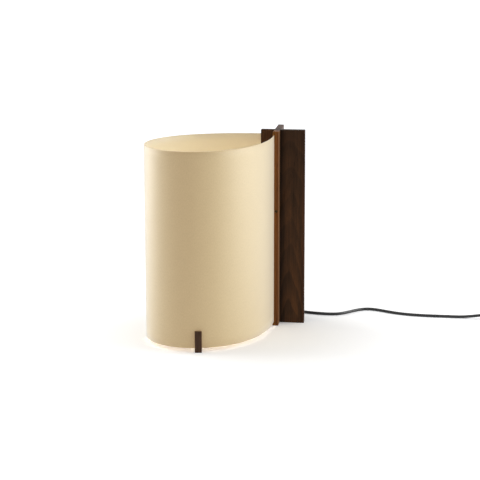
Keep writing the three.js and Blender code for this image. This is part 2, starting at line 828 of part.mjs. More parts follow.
// A saddle on the inner face of the depth board: a ring round the lead and a base with a screw.
function leadSaddle() {
  const ringOuter = cordRadius + slip + saddleThick;
  const start = [-leadOut, -saddleAlong - saddleWide / 2, leadHigh];
  const ring = rod(ringOuter, saddleWide, start, [0, 1, 0], 24);
  const baseLow = leadHigh - ringOuter;
  const base = box(
    [-half - saddleBaseThick, -saddleAlong - saddleWide / 2, baseLow],
    [-half, -saddleAlong + saddleWide / 2, baseLow + saddleBaseHigh],
  );
  const bore = rod(
    cordRadius + slip, saddleWide + 2 * overrun, [start[0], start[1] - overrun, leadHigh], [0, 1, 0],
  );
  const screwHole = rod(
    pilot, saddleBaseThick + 2 * overrun,
    [-half - saddleBaseThick - overrun, -saddleAlong, leadHigh + saddleScrewUp], [1, 0, 0], 12,
  );
  return cut(join(ring, base), bore, screwHole);
}

// The gland: a plug in the hole, a flange on the back of the side board, and a ribbed tail.
function gland() {
  const flangeLow = glandPlugLong + slip;
  const tail = ribbedTail(glandTailRadius, glandTipRadius, glandTailLong, glandRibs, glandGrooveDeep);
  const raised = tail.map(([radius, along]) => [radius, along + flangeLow + glandFlangeThick]);
  const profile = [
    [0, 0], [glandPlugRadius, 0], [glandPlugRadius, flangeLow], [glandFlangeRadius, flangeLow],
    [glandFlangeRadius, flangeLow + glandFlangeThick], ...raised,
    [0, flangeLow + glandFlangeThick + glandTailLong],
  ];
  return aimed(turned(profile, 24), [-leadOut, half - glandPlugLong, leadHigh], [0, 1, 0]);
}

// Hand switch: one moulded body, parted at the cords' middle plane.
const switchX = switchLowX + switchLong / 2;
const reliefHigh = switchSplit;

function switchBody() {
  const long = switchLong / 2;
  const wide = switchWide / 2;
  const end = switchEndWide / 2;
  const shoulder = cavityLong / 2;
  const outline = new THREE.Shape();
  outline.moveTo(-long, -end);
  outline.quadraticCurveTo(-shoulder - (long - shoulder) / 3, -wide, -shoulder, -wide);
  outline.lineTo(shoulder, -wide);
  outline.quadraticCurveTo(shoulder + (long - shoulder) / 3, -wide, long, -end);
  outline.lineTo(long, end);
  outline.quadraticCurveTo(shoulder + (long - shoulder) / 3, wide, shoulder, wide);
  outline.lineTo(-shoulder, wide);
  outline.quadraticCurveTo(-shoulder - (long - shoulder) / 3, wide, -long, end);
  const geometry = roundedPrism(outline, switchHigh, switchRound, 3);
  geometry.translate(switchX, switchY, 0);
  return geometry;
}

function switchCavity() {
  return box(
    [switchX - cavityLong / 2, switchY - cavityWide / 2, switchFloor],
    [switchX + cavityLong / 2, switchY + cavityWide / 2, switchHigh - switchRoof],
  );
}

// Holes along the body for the two reliefs and for the cords' ends.
function switchBores() {
  return [1, -1].flatMap((way) => {
    const face = switchX + (way * switchLong) / 2;
    const back = [-way, 0, 0];
    return [
      rod(reliefPlugRadius + slip, reliefPlugLong + slip + overrun,
        [face + way * overrun, switchY, reliefHigh], back),
      rod(cordRadius + slip, (switchLong - cavityLong) / 2 + 2 * overrun,
        [face + way * overrun, switchY, reliefHigh], back),
    ];
  });
}

function caseScrewPlaces() {
  return [1, -1].map((way) => [switchX + way * caseScrewAlong, switchY + way * caseScrewAside]);
}

function caseScrewHoles() {
  return caseScrewPlaces().flatMap(([x, y]) => [
    rod(caseScrewRadius + slip, caseScrewLong + slip + overrun, [x, y, -overrun], [0, 0, 1], 12),
    rod(caseScrewHeadRadius + slip, caseScrewHeadHigh + slip + overrun, [x, y, -overrun], [0, 0, 1], 16),
  ]);
}

function switchHalf(low, high) {
  const far = switchLong;
  const keep = box([switchX - far, switchY - far, low], [switchX + far, switchY + far, high]);
  return geometryOf(solidOf(switchBody()).intersect(solidOf(keep)));
}

function switchBase() {
  const shell = switchHalf(-overrun, switchSplit - switchSeam / 2);
  return cut(shell, switchCavity(), ...switchBores(), ...caseScrewHoles());
}

function switchCover() {
  const shell = switchHalf(switchSplit + switchSeam / 2, switchHigh + overrun);
  const window = box(
    [switchX - windowLong / 2, switchY - windowWide / 2, switchHigh - switchRoof - overrun],
    [switchX + windowLong / 2, switchY + windowWide / 2, switchHigh + overrun],
  );
  const pivotHole = rod(
    pivotRadius + slip, pivotLong + 2 * slip,
    [switchX, switchY - pivotLong / 2 - slip, pivotHigh], [0, 1, 0], 16,
  );
  return cut(shell, switchCavity(), window, pivotHole, ...switchBores(), ...caseScrewHoles());
}

// The rocker in its ON place: a shallow V on top, a nub below, tilted about its pin.
function switchRocker() {
  const long = rockerLong / 2;
  const outline = new THREE.Shape();
  outline.moveTo(0, rockerCentreUp);
  outline.lineTo(-long, rockerEndUp);
  outline.lineTo(-long + slip, rockerSkirtUp);
  outline.lineTo(-rockerNubRadius * 2, -rockerSkirtUp * 2);
  outline.lineTo(-rockerNubRadius, -rockerNubDown + rockerNubRadius);
  outline.absarc(0, -rockerNubDown + rockerNubRadius, rockerNubRadius, Math.PI, 2 * Math.PI, false);
  outline.lineTo(rockerNubRadius * 2, -rockerSkirtUp * 2);
  outline.lineTo(long - slip, rockerSkirtUp);
  outline.lineTo(long, rockerEndUp);
  const block = plainPrism(outline, rockerWide);
  block.translate(0, 0, -rockerWide / 2);
  const bore = new THREE.CylinderGeometry(pivotRadius + slip, pivotRadius + slip, rockerWide + overrun, 16);
  bore.rotateX(Math.PI / 2);
  const rocker = cut(block, bore);
  rocker.rotateZ(-rockerTilt);
  rocker.rotateX(Math.PI / 2);
  rocker.translate(switchX, switchY, pivotHigh);
  return rocker;
}

function switchPivot() {
  return rod(pivotRadius, pivotLong, [switchX, switchY - pivotLong / 2, pivotHigh], [0, 1, 0], 16);
}

// A terminal block at one end of the cavity, with a cross hole for its wire.
function switchTerminal(way) {
  const far = switchX + way * (cavityLong / 2 - slip);
  const near = far - way * terminalLong;
  const block = box(
    [Math.min(far, near), switchY - terminalWide / 2, switchFloor],
    [Math.max(far, near), switchY + terminalWide / 2, switchFloor + terminalHigh],
  );
  const middle = switchFloor + terminalHigh / 2;
  return cut(block, rod(
    terminalBore, terminalLong + 2 * overrun, [Math.min(far, near) - overrun, switchY, middle],
    [1, 0, 0], 12,
  ));
}

// The contact blade lies on both terminals and arches up below the rocker's nub.
function switchBlade() {
  const seat = switchFloor + terminalHigh;
  const rise = pivotHigh - rockerNubDown - slip - bladeThick - seat;
  const end = cavityLong / 2 - slip;
  const flat = end - terminalLong;
  const outline = new THREE.Shape();
  outline.moveTo(-end, 0);
  outline.lineTo(-flat, 0);
  outline.lineTo(-bladeCrest, rise);
  outline.lineTo(bladeCrest, rise);
  outline.lineTo(flat, 0);
  outline.lineTo(end, 0);
  outline.lineTo(end, bladeThick);
  outline.lineTo(flat, bladeThick);
  outline.lineTo(bladeCrest, rise + bladeThick);
  outline.lineTo(-bladeCrest, rise + bladeThick);
  outline.lineTo(-flat, bladeThick);
  outline.lineTo(-end, bladeThick);
  const blade = plainPrism(outline, bladeWide);
  blade.rotateX(Math.PI / 2);
  blade.translate(switchX, switchY + bladeWide / 2, seat);
  return blade;
}

function caseScrew([x, y]) {
  return panScrew(
    caseScrewHeadRadius, caseScrewHeadHigh, caseScrewRadius, caseScrewLong - caseScrewHeadHigh,
    [x, y, caseScrewHeadHigh], [0, 0, 1],
  );
}

// A relief stands in the end of the switch and tapers out along its cord.
function switchRelief(way) {
  const tail = ribbedTail(reliefRootRadius, reliefTipRadius, reliefLong, reliefRibs, reliefGrooveDeep);
  const flange = reliefPlugLong + slip;
  const raised = tail.map(([radius, along]) => [radius, along + flange]);
  const profile = [[0, 0], [reliefPlugRadius, 0], [reliefPlugRadius, flange], ...raised,
    [0, flange + reliefLong]];
  const start = [switchX + way * (switchLong / 2 - reliefPlugLong), switchY, reliefHigh];
  return aimed(turned(profile, 20), start, [way, 0, 0]);
}

// The first free stretch starts straight out of the gland and ends straight into the switch.
function cordToSwitch() {
  const start = glandTipY + slip;
  const out = depthWingLong + wingRoom - start;
  const wing = roundWing.map(([on, rise], i) => [
    on - leadOut, start + out * roundWingShares[i], leadHigh + rise,
  ]);
  const floor = routeToSwitch.map(([x, y, rise]) => [x, y, cordFloor + rise]);
  const end = [switchLowX - reliefLong - 2 * slip, switchY, reliefHigh];
  return freeCord([...wing, ...floor, end], routeSteps);
}

// The second free stretch leaves the switch, turns back and runs straight into the coil.
function cordToCoil() {
  const start = switchLowX + switchLong + reliefLong + 2 * slip;
  const bend = routeToCoil.map(([on, y, rise]) => [start + on, y, cordFloor + rise]);
  const run = [4, 2, 0].map((ends) => [tailLowX + ends * coilEnd, coilTopY, coilLow]);
  return freeCord([[start, switchY, reliefHigh], ...bend, ...run], routeToCoilSteps);
}

// The coil spirals in along the floor, climbs one layer in the half turn where it turns back, and
// spirals out on top. Its two ends run straight for one cord diameter.
const coilLow = cordRadius + tieRoom + tieThick + floorGap;
const coilY = coilTopY - coilRadius;
const coilAngle = 2 * Math.PI * coilTurns;
const coilEnd = 2 * cordRadius;

class CoilCurve extends THREE.Curve {
  getPoint(share, target = new THREE.Vector3()) {
    const meanRadius = coilRadius - (coilPitch * coilTurns) / 4;
    const curled = coilAngle * meanRadius;
    const along = share * (curled + 2 * coilEnd) - coilEnd;
    const before = Math.min(along, 0);
    const after = Math.max(along - curled, 0);
    const angle = (coilAngle * Math.min(Math.max(along, 0), curled)) / curled;
    const nearEnd = Math.min(angle, coilAngle - angle);
    const radius = coilRadius - (coilPitch * nearEnd) / (2 * Math.PI);
    const climb = Math.min(Math.max((angle - coilAngle / 2) / Math.PI + 1 / 2, 0), 1);
    const eased = (1 - Math.cos(Math.PI * climb)) / 2;
    return target.set(
      coilX - radius * Math.sin(angle) - before + after,
      coilY + radius * Math.cos(angle),
      coilLow + coilPitch * eased,
    );
  }
}

// The least clear distance between the coil's turns, measured on points of its middle line.
function leastCoilGap(curve) {
  const perTurn = 48;
  const points = curve.getSpacedPoints(Math.round(coilTurns * perTurn));
  let least = Infinity;
  points.forEach((point, i) => {
    for (let k = i + perTurn / 2; k < points.length; k += 1) {
      least = Math.min(least, point.distanceTo(points[k]));
    }
  });
  return least - 2 * cordRadius;
}

function coil() {
  const curve = new CoilCurve();
  curve.arcLengthDivisions = Math.round(coilTurns * coilStepsPerTurn * 4);
  console.log(`least gap between the coil's turns: ${leastCoilGap(curve).toFixed(2)} mm`);
  console.log(`length of the coil: ${curve.getLength().toFixed(0)} mm`);
  return swept(curve, cordRadius, coilSides, Math.round(coilTurns * coilStepsPerTurn) + 2);
}

function roundedFrame(low, high, round, Kind) {
  const frame = new Kind();
  frame.moveTo(low[0] + round, low[1]);
  frame.lineTo(high[0] - round, low[1]);
  frame.absarc(high[0] - round, low[1] + round, round, -Math.PI / 2, 0, false);
  frame.lineTo(high[0], high[1] - round);
  frame.absarc(high[0] - round, high[1] - round, round, 0, Math.PI / 2, false);
  frame.lineTo(low[0] + round, high[1]);
  frame.absarc(low[0] + round, high[1] - round, round, Math.PI / 2, Math.PI, false);
  frame.lineTo(low[0], low[1] + round);
  frame.absarc(low[0] + round, low[1] + round, round, Math.PI, (3 * Math.PI) / 2, false);
  return frame;
}

// A band round the turns, a quarter turn after the cord comes in.
function coilTie() {
  const turnsAcross = Math.ceil(coilTurns / 2) - 1;
  const outerTurn = coilRadius - coilPitch * tiePlaceTurns;
  const innerTurn = outerTurn - coilPitch * turnsAcross;
  const low = [innerTurn - cordRadius - tieRoom, coilLow - cordRadius - tieRoom];
  const high = [outerTurn + cordRadius + tieRoom, coilLow + coilPitch + cordRadius + tieRoom];
  const band = roundedFrame(
    [low[0] - tieThick, low[1] - tieThick], [high[0] + tieThick, high[1] + tieThick],
    tieRound, THREE.Shape,
  );
  band.holes.push(roundedFrame(low, high, tieRound - tieThick, THREE.Path));
  const geometry = plainPrism(band, tieWide);
  geometry.rotateX(Math.PI / 2);
  geometry.translate(0, tieWide / 2, 0);
  geometry.rotateZ(Math.PI);
  geometry.translate(coilX, coilY, 0);
  return geometry;
}

// The last free stretch comes down from the coil's top layer to the plug that lies beside it.
const tailLowX = coilX + coilEnd + slip;
const plugY = coilY - coilRadius;
const plugMiddle = plugHigh / 2;

function cordToPlug() {
  const high = coilLow + coilPitch;
  return freeCord(plugRunShares.map((share, i) => [
    tailLowX + tailSpan * share, plugY, high + (plugMiddle - high) * plugDropShares[i],
  ]), plugRunSteps);
}

const plugTailX = tailLowX + tailSpan + slip;
const plugX = plugTailX + plugTailLong;

function plugTail() {
  const tail = ribbedTail(plugTailRoot, plugTailTip, plugTailLong, plugTailRibs, plugTailGroove);
  const profile = [[0, -plugTailIn], [plugTailRoot - slip, -plugTailIn], [plugTailRoot - slip, -slip],
    [plugTailRoot, -slip], ...tail.slice(1), [0, plugTailLong]];
  return aimed(turned(profile, 20), [plugX, plugY, plugMiddle], [-1, 0, 0]);
}

// Flat plug body: narrow at the cord, a finger waist, and wide at the pins.
function plugBody() {
  const waist = plugLong * plugWaistShare;
  const shoulder = plugLong * plugShoulderShare;
  const outline = new THREE.Shape();
  outline.moveTo(0, -plugBackWide / 2);
  outline.quadraticCurveTo(waist / 2, -plugBackWide / 2, waist, -plugWaistWide / 2);
  outline.quadraticCurveTo(shoulder - waist / 2, -plugFaceWide / 2, shoulder, -plugFaceWide / 2);
  outline.lineTo(plugLong, -plugFaceWide / 2);
  outline.lineTo(plugLong, plugFaceWide / 2);
  outline.lineTo(shoulder, plugFaceWide / 2);
  outline.quadraticCurveTo(shoulder - waist / 2, plugFaceWide / 2, waist, plugWaistWide / 2);
  outline.quadraticCurveTo(waist / 2, plugBackWide / 2, 0, plugBackWide / 2);
  const body = roundedPrism(outline, plugHigh, plugRound, 2);
  body.translate(plugX + slip, plugY, 0);
  const face = plugX + slip + plugLong;
  const sleeves = [1, -1].map((way) => rod(
    pinSleeveRadius, pinSleeveLong + overrun, [face - overrun, plugY + (way * pinApart) / 2, plugMiddle],
    [1, 0, 0],
  ));
  const cores = [1, -1].map((way) => rod(
    pinCoreRadius + slip, pinCoreDeep + pinSleeveLong + overrun,
    [face - pinCoreDeep, plugY + (way * pinApart) / 2, plugMiddle], [1, 0, 0], 14,
  ));
  const tailSeat = rod(
    plugTailRoot, plugTailIn + overrun, [plugX + slip - overrun, plugY, plugMiddle], [1, 0, 0],
  );
  return cut(join(body, ...sleeves), ...cores, tailSeat);
}

function plugPin(way) {
  const tip = pinLong - pinSleeveLong;
  const deep = pinCoreDeep + pinSleeveLong - slip;
  const profile = [
    [0, -deep], [pinCoreRadius, -deep], [pinCoreRadius, slip], [pinRadius, slip],
    [pinRadius, tip - pinRadius], [pinRadius * Math.SQRT1_2, tip - pinRadius * (1 - Math.SQRT1_2)],
    [0, tip],
  ];
  const start = [plugX + slip + plugLong + pinSleeveLong, plugY + (way * pinApart) / 2, plugMiddle];
  return aimed(turned(profile, 16), start, [1, 0, 0]);
}

add("post_side_board", sideBoard(), walnut);
add("post_depth_board", depthBoard(), walnutEdge);
add("lock_screw", lockScrew(), blackSteel);
add("shade_sheet", sheet(), parchment);
add("shade_foot", foot(), walnut);
add("holder_bracket", bracket(), blackSteel);
leafScrewHighs.forEach((high, i) => {
  const seat = -half - leafThick;
  const sizes = [panHeadRadius, panHeadHigh, leafScrewRadius, leafThick + leafScrewLong];
  add(`bracket_screw_side_${i + 1}`, panScrew(...sizes, [leafScrewAt, seat, high], [0, 1, 0]), zincSteel);
  add(`bracket_screw_depth_${i + 1}`, panScrew(...sizes, [seat, leafScrewAt, high], [1, 0, 0]), zincSteel);
});
add("stem_tube", stem(), brass);
add("stem_nut", stemNut(), brass);
add("stem_sleeve", stemSleeve(), blackSteel);
add("holder_cap", holderCap(), blackPlastic);
add("holder_skirt", holderSkirt(), blackPlastic);
add("holder_insert", holderInsert(), ceramic);
add("holder_shell", holderShell(), brass);
add("holder_contact", centreContact(), brass);
add("bulb_tip", bulbTip(), zincSteel);
add("bulb_insulator", bulbInsulator(), blackPlastic);
add("bulb_cap", bulbCap(), zincSteel);
add("bulb_glass", bulbGlass(), opalGlass);
add("inner_lead", innerLead(), blackRubber);
add("lead_saddle", leadSaddle(), blackPlastic);
add("saddle_screw", panScrew(
  panHeadRadius, panHeadHigh, leafScrewRadius, saddleBaseThick + saddleScrewLong - overrun,
  [-half - saddleBaseThick, -saddleAlong, leadHigh + saddleScrewUp], [1, 0, 0],
), zincSteel);
add("cord_gland", gland(), blackRubber);
add("cord_to_switch", cordToSwitch(), blackRubber);
add("switch_base", switchBase(), blackPlastic);
add("switch_cover", switchCover(), blackPlastic);
add("switch_rocker", switchRocker(), blackPlastic);
add("switch_pivot", switchPivot(), zincSteel);
add("switch_terminal_in", switchTerminal(-1), brass);
add("switch_terminal_out", switchTerminal(1), brass);
add("switch_blade", switchBlade(), brass);
caseScrewPlaces().forEach((place, i) => add(`switch_screw_${i + 1}`, caseScrew(place), zincSteel));
add("switch_relief_in", switchRelief(-1), blackRubber);
add("switch_relief_out", switchRelief(1), blackRubber);
add("cord_to_coil", cordToCoil(), blackRubber);
add("cord_coil", coil(), blackRubber);
add("coil_tie", coilTie(), blackRubber);
add("cord_to_plug", cordToPlug(), blackRubber);
add("plug_tail", plugTail(), blackRubber);
add("plug_body", plugBody(), blackPlastic);
add("plug_pin_1", plugPin(1), zincSteel);
add("plug_pin_2", plugPin(-1), zincSteel);

export default root;
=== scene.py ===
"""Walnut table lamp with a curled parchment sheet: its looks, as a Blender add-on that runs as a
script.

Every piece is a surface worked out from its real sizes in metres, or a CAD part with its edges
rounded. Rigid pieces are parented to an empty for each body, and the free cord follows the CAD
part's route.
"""

from functools import cache, partial

import bmesh
import bpy
import numpy as np
from bpy.props import FloatProperty, FloatVectorProperty, PointerProperty
from mathutils import Matrix, Vector


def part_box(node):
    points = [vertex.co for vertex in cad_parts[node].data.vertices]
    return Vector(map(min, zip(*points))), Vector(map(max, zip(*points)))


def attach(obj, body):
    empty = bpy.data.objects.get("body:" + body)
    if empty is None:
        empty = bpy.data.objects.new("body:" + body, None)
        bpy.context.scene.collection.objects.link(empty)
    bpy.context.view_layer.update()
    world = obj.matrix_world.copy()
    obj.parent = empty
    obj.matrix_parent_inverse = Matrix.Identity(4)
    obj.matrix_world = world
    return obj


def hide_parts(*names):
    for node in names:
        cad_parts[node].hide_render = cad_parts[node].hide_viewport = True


bl_info = {
    "name": "Walnut lamp with curled sheet",
    "version": (1, 0, 0),
    "blender": (4, 5, 0),
    "location": "3D View > Sidebar > Lamp",
    "description": "Builds a table lamp of crossed boards, a curled sheet, a bulb and a cord",
    "category": "Add Mesh",
}

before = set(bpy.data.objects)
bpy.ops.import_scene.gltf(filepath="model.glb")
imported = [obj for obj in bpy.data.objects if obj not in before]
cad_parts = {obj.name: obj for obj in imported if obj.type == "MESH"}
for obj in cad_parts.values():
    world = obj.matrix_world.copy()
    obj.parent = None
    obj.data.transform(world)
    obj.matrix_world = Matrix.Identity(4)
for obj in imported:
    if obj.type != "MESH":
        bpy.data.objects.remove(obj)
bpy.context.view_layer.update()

MM = 0.001
POST, SHADE, ROCKER = "post", "shade", "rocker"

# Free cord, as the CAD part's source routes it, in metres
ROUTE_TO_SWITCH = MM * np.array([
    (-13.6, 40.6, 20), (-13.6, 48.09, 19.6), (-12.8, 57.24, 18), (-9.6, 66.81, 15.2),
    (-2.8, 75.13, 11.8), (6.5, 80.66, 8.4), (17.5, 82.2, 5.6), (29, 80, 3.9), (40.5, 75.6, 3.1),
    (52, 70.8, 3.1), (64, 67, 3.1), (76, 64.3, 3.1), (88, 62.4, 3.1), (100, 61.4, 3.1),
    (113, 62.2, 3.1), (125, 67, 3.1), (137, 77, 3.1), (148.5, 89.6, 3.1), (160, 101.4, 3.1),
    (172, 109.4, 3.1), (185, 111.4, 3.1), (198, 108, 3.1), (211, 101.4, 3.1), (224, 94.2, 3.1),
    (237, 87.6, 3.1), (250, 82.4, 3.1), (272, 76.6, 3.1), (296, 73.4, 3.1), (322, 72.2, 3.1),
    (350, 71.8, 3.1), (378, 71, 3.6), (398, 70.2, 5.6), (412, 70, 7.6), (422, 70, 8.5),
    (429.4, 70, 8.5),
])
ROUTE_TO_COIL = MM * np.array([
    (530.6, 70, 8.5), (535.6, 70, 8.5), (546.6, 67.9, 8), (555.6, 61.8, 7), (561.6, 52.7, 6),
    (563.6, 42, 5.2), (561.6, 31.3, 4.8), (555.6, 22.2, 4.7), (546.6, 16.1, 4.7), (535.6, 14, 4.7),
    (518.3, 14, 4.7), (506.3, 14, 4.7), (494.3, 14, 4.7),
])
COIL_CENTRE = MM * np.array((488, -27.5, 4.7))
COIL_RADIUS, COIL_PITCH, COIL_TURNS, COIL_END = 41.5 * MM, 6.5 * MM, 5.5, 6 * MM
ROUTE_TO_PLUG = MM * np.array([
    (494.3, -69, 11.2), (500.3, -69, 11.2), (509.3, -69, 9), (518.3, -69, 6.8), (524.3, -69, 6.8),
])

# How far a cord runs on inside a relief, and the reliefs' mouths
TUCK = 3 * MM
MOUTH_DEEP = 4 * MM
MOUTH_ROOM = 0.05 * MM

# A profile stops this far from its axis, and its points that are closer than DOUBLED count as one
POLE = 0.02 * MM
DOUBLED = 0.001 * MM
# Mesh points closer than this are merged
MERGED = 0.002 * MM

# Play between the lampholder's pieces, and round the stem
SLIP = 0.3 * MM

# Half the floor's width, what the softboxes point at, and their names, places, widths and depths
FLOOR_REACH = 40.0
AIM = Vector((-0.09, -0.1, 0.2))
SOFTBOXES = (
    ("left_softbox", (-1.739, 0.314, 0.75), 1.52, 1.5),
    ("right_softbox", (1.605, 0.027, 0.75), 1.54, 1.5),
)

# Head radius, head height and shank radius of the bracket's and the saddle's screws
BRACKET_SCREW = 3.1 * MM, 2 * MM, 1.6 * MM

SMOOTH = {"interpolation_type": "SMOOTHSTEP"}


def middle(node):
    """Middle of a CAD node's box."""
    first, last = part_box(node)
    return np.array((first + last) / 2)


def ends(node, axis=2):
    """Where a CAD node's box starts and ends along an axis."""
    return [float(corner[axis]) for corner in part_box(node)]


def given(thing, **values):
    """Sets values of a thing, and gives it back."""
    for key, value in values.items():
        setattr(thing, key, value)
    return thing


def linear(colour):
    """sRGB hex, such as "8a6f4d", turned to linear light."""
    part = np.array([int(colour[i:i + 2], 16) for i in (0, 2, 4)]) / 255
    light = np.where(part <= 0.04045, part / 12.92, ((part + 0.055) / 1.055) ** 2.4)
    return (*(float(x) for x in light), 1.0)


class CameraSettings(bpy.types.PropertyGroup):
    place: FloatVectorProperty(
        name="Place", description="Where the camera stands", size=3, subtype="TRANSLATION",
        default=(0.3753, -3.3652, 0.9281))
    yaw: FloatProperty(
        name="Yaw", description="Turn to the left from +Y", subtype="ANGLE",
        default=np.radians(7.649))
    pitch: FloatProperty(
        name="Pitch", description="Tilt below the horizon", subtype="ANGLE",
        default=np.radians(12.59))
    roll: FloatProperty(
        name="Roll", description="Turn about the line of sight", subtype="ANGLE",
        default=np.radians(-0.131))
    lens: FloatProperty(
        name="Lens", description="Focal length for a 36 mm sensor", unit="CAMERA", default=127.53)


class SheetSettings(bpy.types.PropertyGroup):
    curl_length: FloatProperty(
        name="Curl length", description="Length of the sheet between the two kerfs",
        unit="LENGTH", default=0.718)
    thickness: FloatProperty(
        name="Thickness", description="Thickness of the card", unit="LENGTH", default=0.001)
    kerf_inset: FloatProperty(
        name="Kerf inset", description="From a board's middle plane to its kerf", unit="LENGTH",
        default=0.0036)
    wing: FloatProperty(
        name="Wing", description="From the cross to a kerfed edge", unit="LENGTH", default=0.033)
    tail: FloatProperty(
        name="Tail", description="How far the sheet stands in its kerf", unit="LENGTH",
        default=0.0077)


def colour(name, description, tint):
    """A colour setting, whose default is an sRGB hex."""
    return FloatVectorProperty(
        name=name, description=description, size=4, subtype="COLOR", min=0, max=1,
        default=linear(tint))


class ColourSettings(bpy.types.PropertyGroup):
    card_pale: colour("Card, pale", "Thin places of the card's outer face", "bcb28a")
    card_tan: colour("Card, tan", "Thick places of the card's outer face", "b1a882")
    card_lining: colour("Card, lining", "Face inside the curl", "bcbca3")
    side_dark: colour("Side board, dark", "Late wood and pores", "20150c")
    side_mid: colour("Side board, middle", "Wood between dark and light", "3c2819")
    side_light: colour("Side board, light", "Early wood", "573820")
    depth_dark: colour("Depth board, dark", "Late wood and pores", "26170c")
    depth_mid: colour("Depth board, middle", "Wood between dark and light", "422b1a")
    depth_light: colour("Depth board, light", "Early wood", "5a3822")
    foot_dark: colour("Foot, dark", "Late wood and pores", "2c1e17")
    foot_mid: colour("Foot, middle", "Wood between dark and light", "4b3629")
    foot_light: colour("Foot, light", "Early wood", "644a38")
    cord_dark: colour("Cord, dark", "Darker tint of the cord's sheath", "0c0c0c")
    cord_light: colour("Cord, light", "Lighter tint of the cord's sheath", "151515")


class CordSettings(bpy.types.PropertyGroup):
    diameter: FloatProperty(
        name="Diameter", description="Outside of the round sheath", unit="LENGTH", default=0.006)


class LightSettings(bpy.types.PropertyGroup):
    world: FloatProperty(
        name="Room light", description="Even light from all around", min=0, default=0.457)
    left: FloatProperty(
        name="Left softbox", description="Power of the softbox on the left", unit="POWER",
        default=30.8)
    right: FloatProperty(
        name="Right softbox", description="Power of the softbox on the right", unit="POWER",
        default=29.3)
    bulb: FloatProperty(
        name="Bulb glow", description="Strength of the opal glass", min=0, default=24.0)


def settings():
    """What the user has set."""
    return bpy.context.scene.walnut_lamp


class LampSettings(bpy.types.PropertyGroup):
    camera: PointerProperty(type=CameraSettings)
    sheet: PointerProperty(type=SheetSettings)
    cord: PointerProperty(type=CordSettings)
    light: PointerProperty(type=LightSettings)
    colours: PointerProperty(type=ColourSettings)


# Materials


def tint(colour):
    """Linear light of a colour setting, called by its name, or of an sRGB hex."""
    return tuple(getattr(settings().colours, colour, None) or linear(colour))


def feed(node, inputs):
    """Sets a node's inputs, or links them to a socket or to a node's first output. Inputs are
    called by number, or by a keyword such as base_color or Scale."""
    for key, value in inputs.items():
        if isinstance(key, str):
            key = key.replace("_", " ").title().replace("Ior", "IOR")
        if isinstance(value, bpy.types.Node):
            value = value.outputs[0]
        if isinstance(value, bpy.types.NodeSocket):
            node.id_data.links.new(value, node.inputs[key])
        else:
            node.inputs[key].default_value = value


def add_node(tree, kind, *inputs, stops=(), **values):
    """Adds a node. Its inputs come in order, or by name with a capital letter, and its settings by
    their own names. Stops are a colour ramp's pairs of a place and a colour."""
    named = {key: values.pop(key) for key in list(values) if key[0].isupper()}
    node = given(tree.nodes.new("ShaderNode" + kind), **values)
    feed(node, {**dict(enumerate(inputs)), **named})
    for number, (place, colour) in enumerate(stops):
        elements = node.color_ramp.elements
        element = elements[number] if number < 2 else elements.new(place)
        given(element, position=place, color=tint(colour))
    return node


def wire(made, **values):
    """Sets the shader's sockets of those names, or links nodes to them. Gives the material back."""
    feed(made.node_tree.nodes["Principled BSDF"], values)
    return made


def material(name, **values):
    """A new material with the shader's constant values, and the function that adds its nodes."""
    made = given(bpy.data.materials.new(name), use_nodes=True)
    return wire(made, **values), partial(add_node, made.node_tree)


def patterned(name, colours, scale, detail=2, reach=(0.3, 0.7), gloss=None, relief=None,
              lay=None, **values):
    """A material in which one noise drives the colour between two tints, and at will the gloss
    between two roughnesses and a relief, given as a height and a strength. lay is the noise's
    scale along each axis."""
    made, add = material(name, **values)
    place = add("TexCoord").outputs["Object"]
    if lay:
        place = add("Mapping", place, Scale=lay)
    noise = add("TexNoise", place, Scale=scale, Detail=detail)
    wire(made, base_color=add("ValToRGB", noise, stops=tuple(zip(reach, colours))))
    if gloss:
        wire(made, roughness=add("MapRange", noise, 0.3, 0.7, *gloss))
    if relief:
        wire(made, normal=add("Bump", Height=noise, Distance=relief[0], Strength=relief[1]))
    return made


def seen(add):
    """1 for what the camera sees directly, reflected or through glass, and 0 for other light."""
    path = add("LightPath").outputs
    plain = add("Math", path["Is Camera Ray"], path["Is Glossy Ray"], operation="MAXIMUM")
    return add("Math", plain, path["Is Transmission Ray"], operation="MAXIMUM")


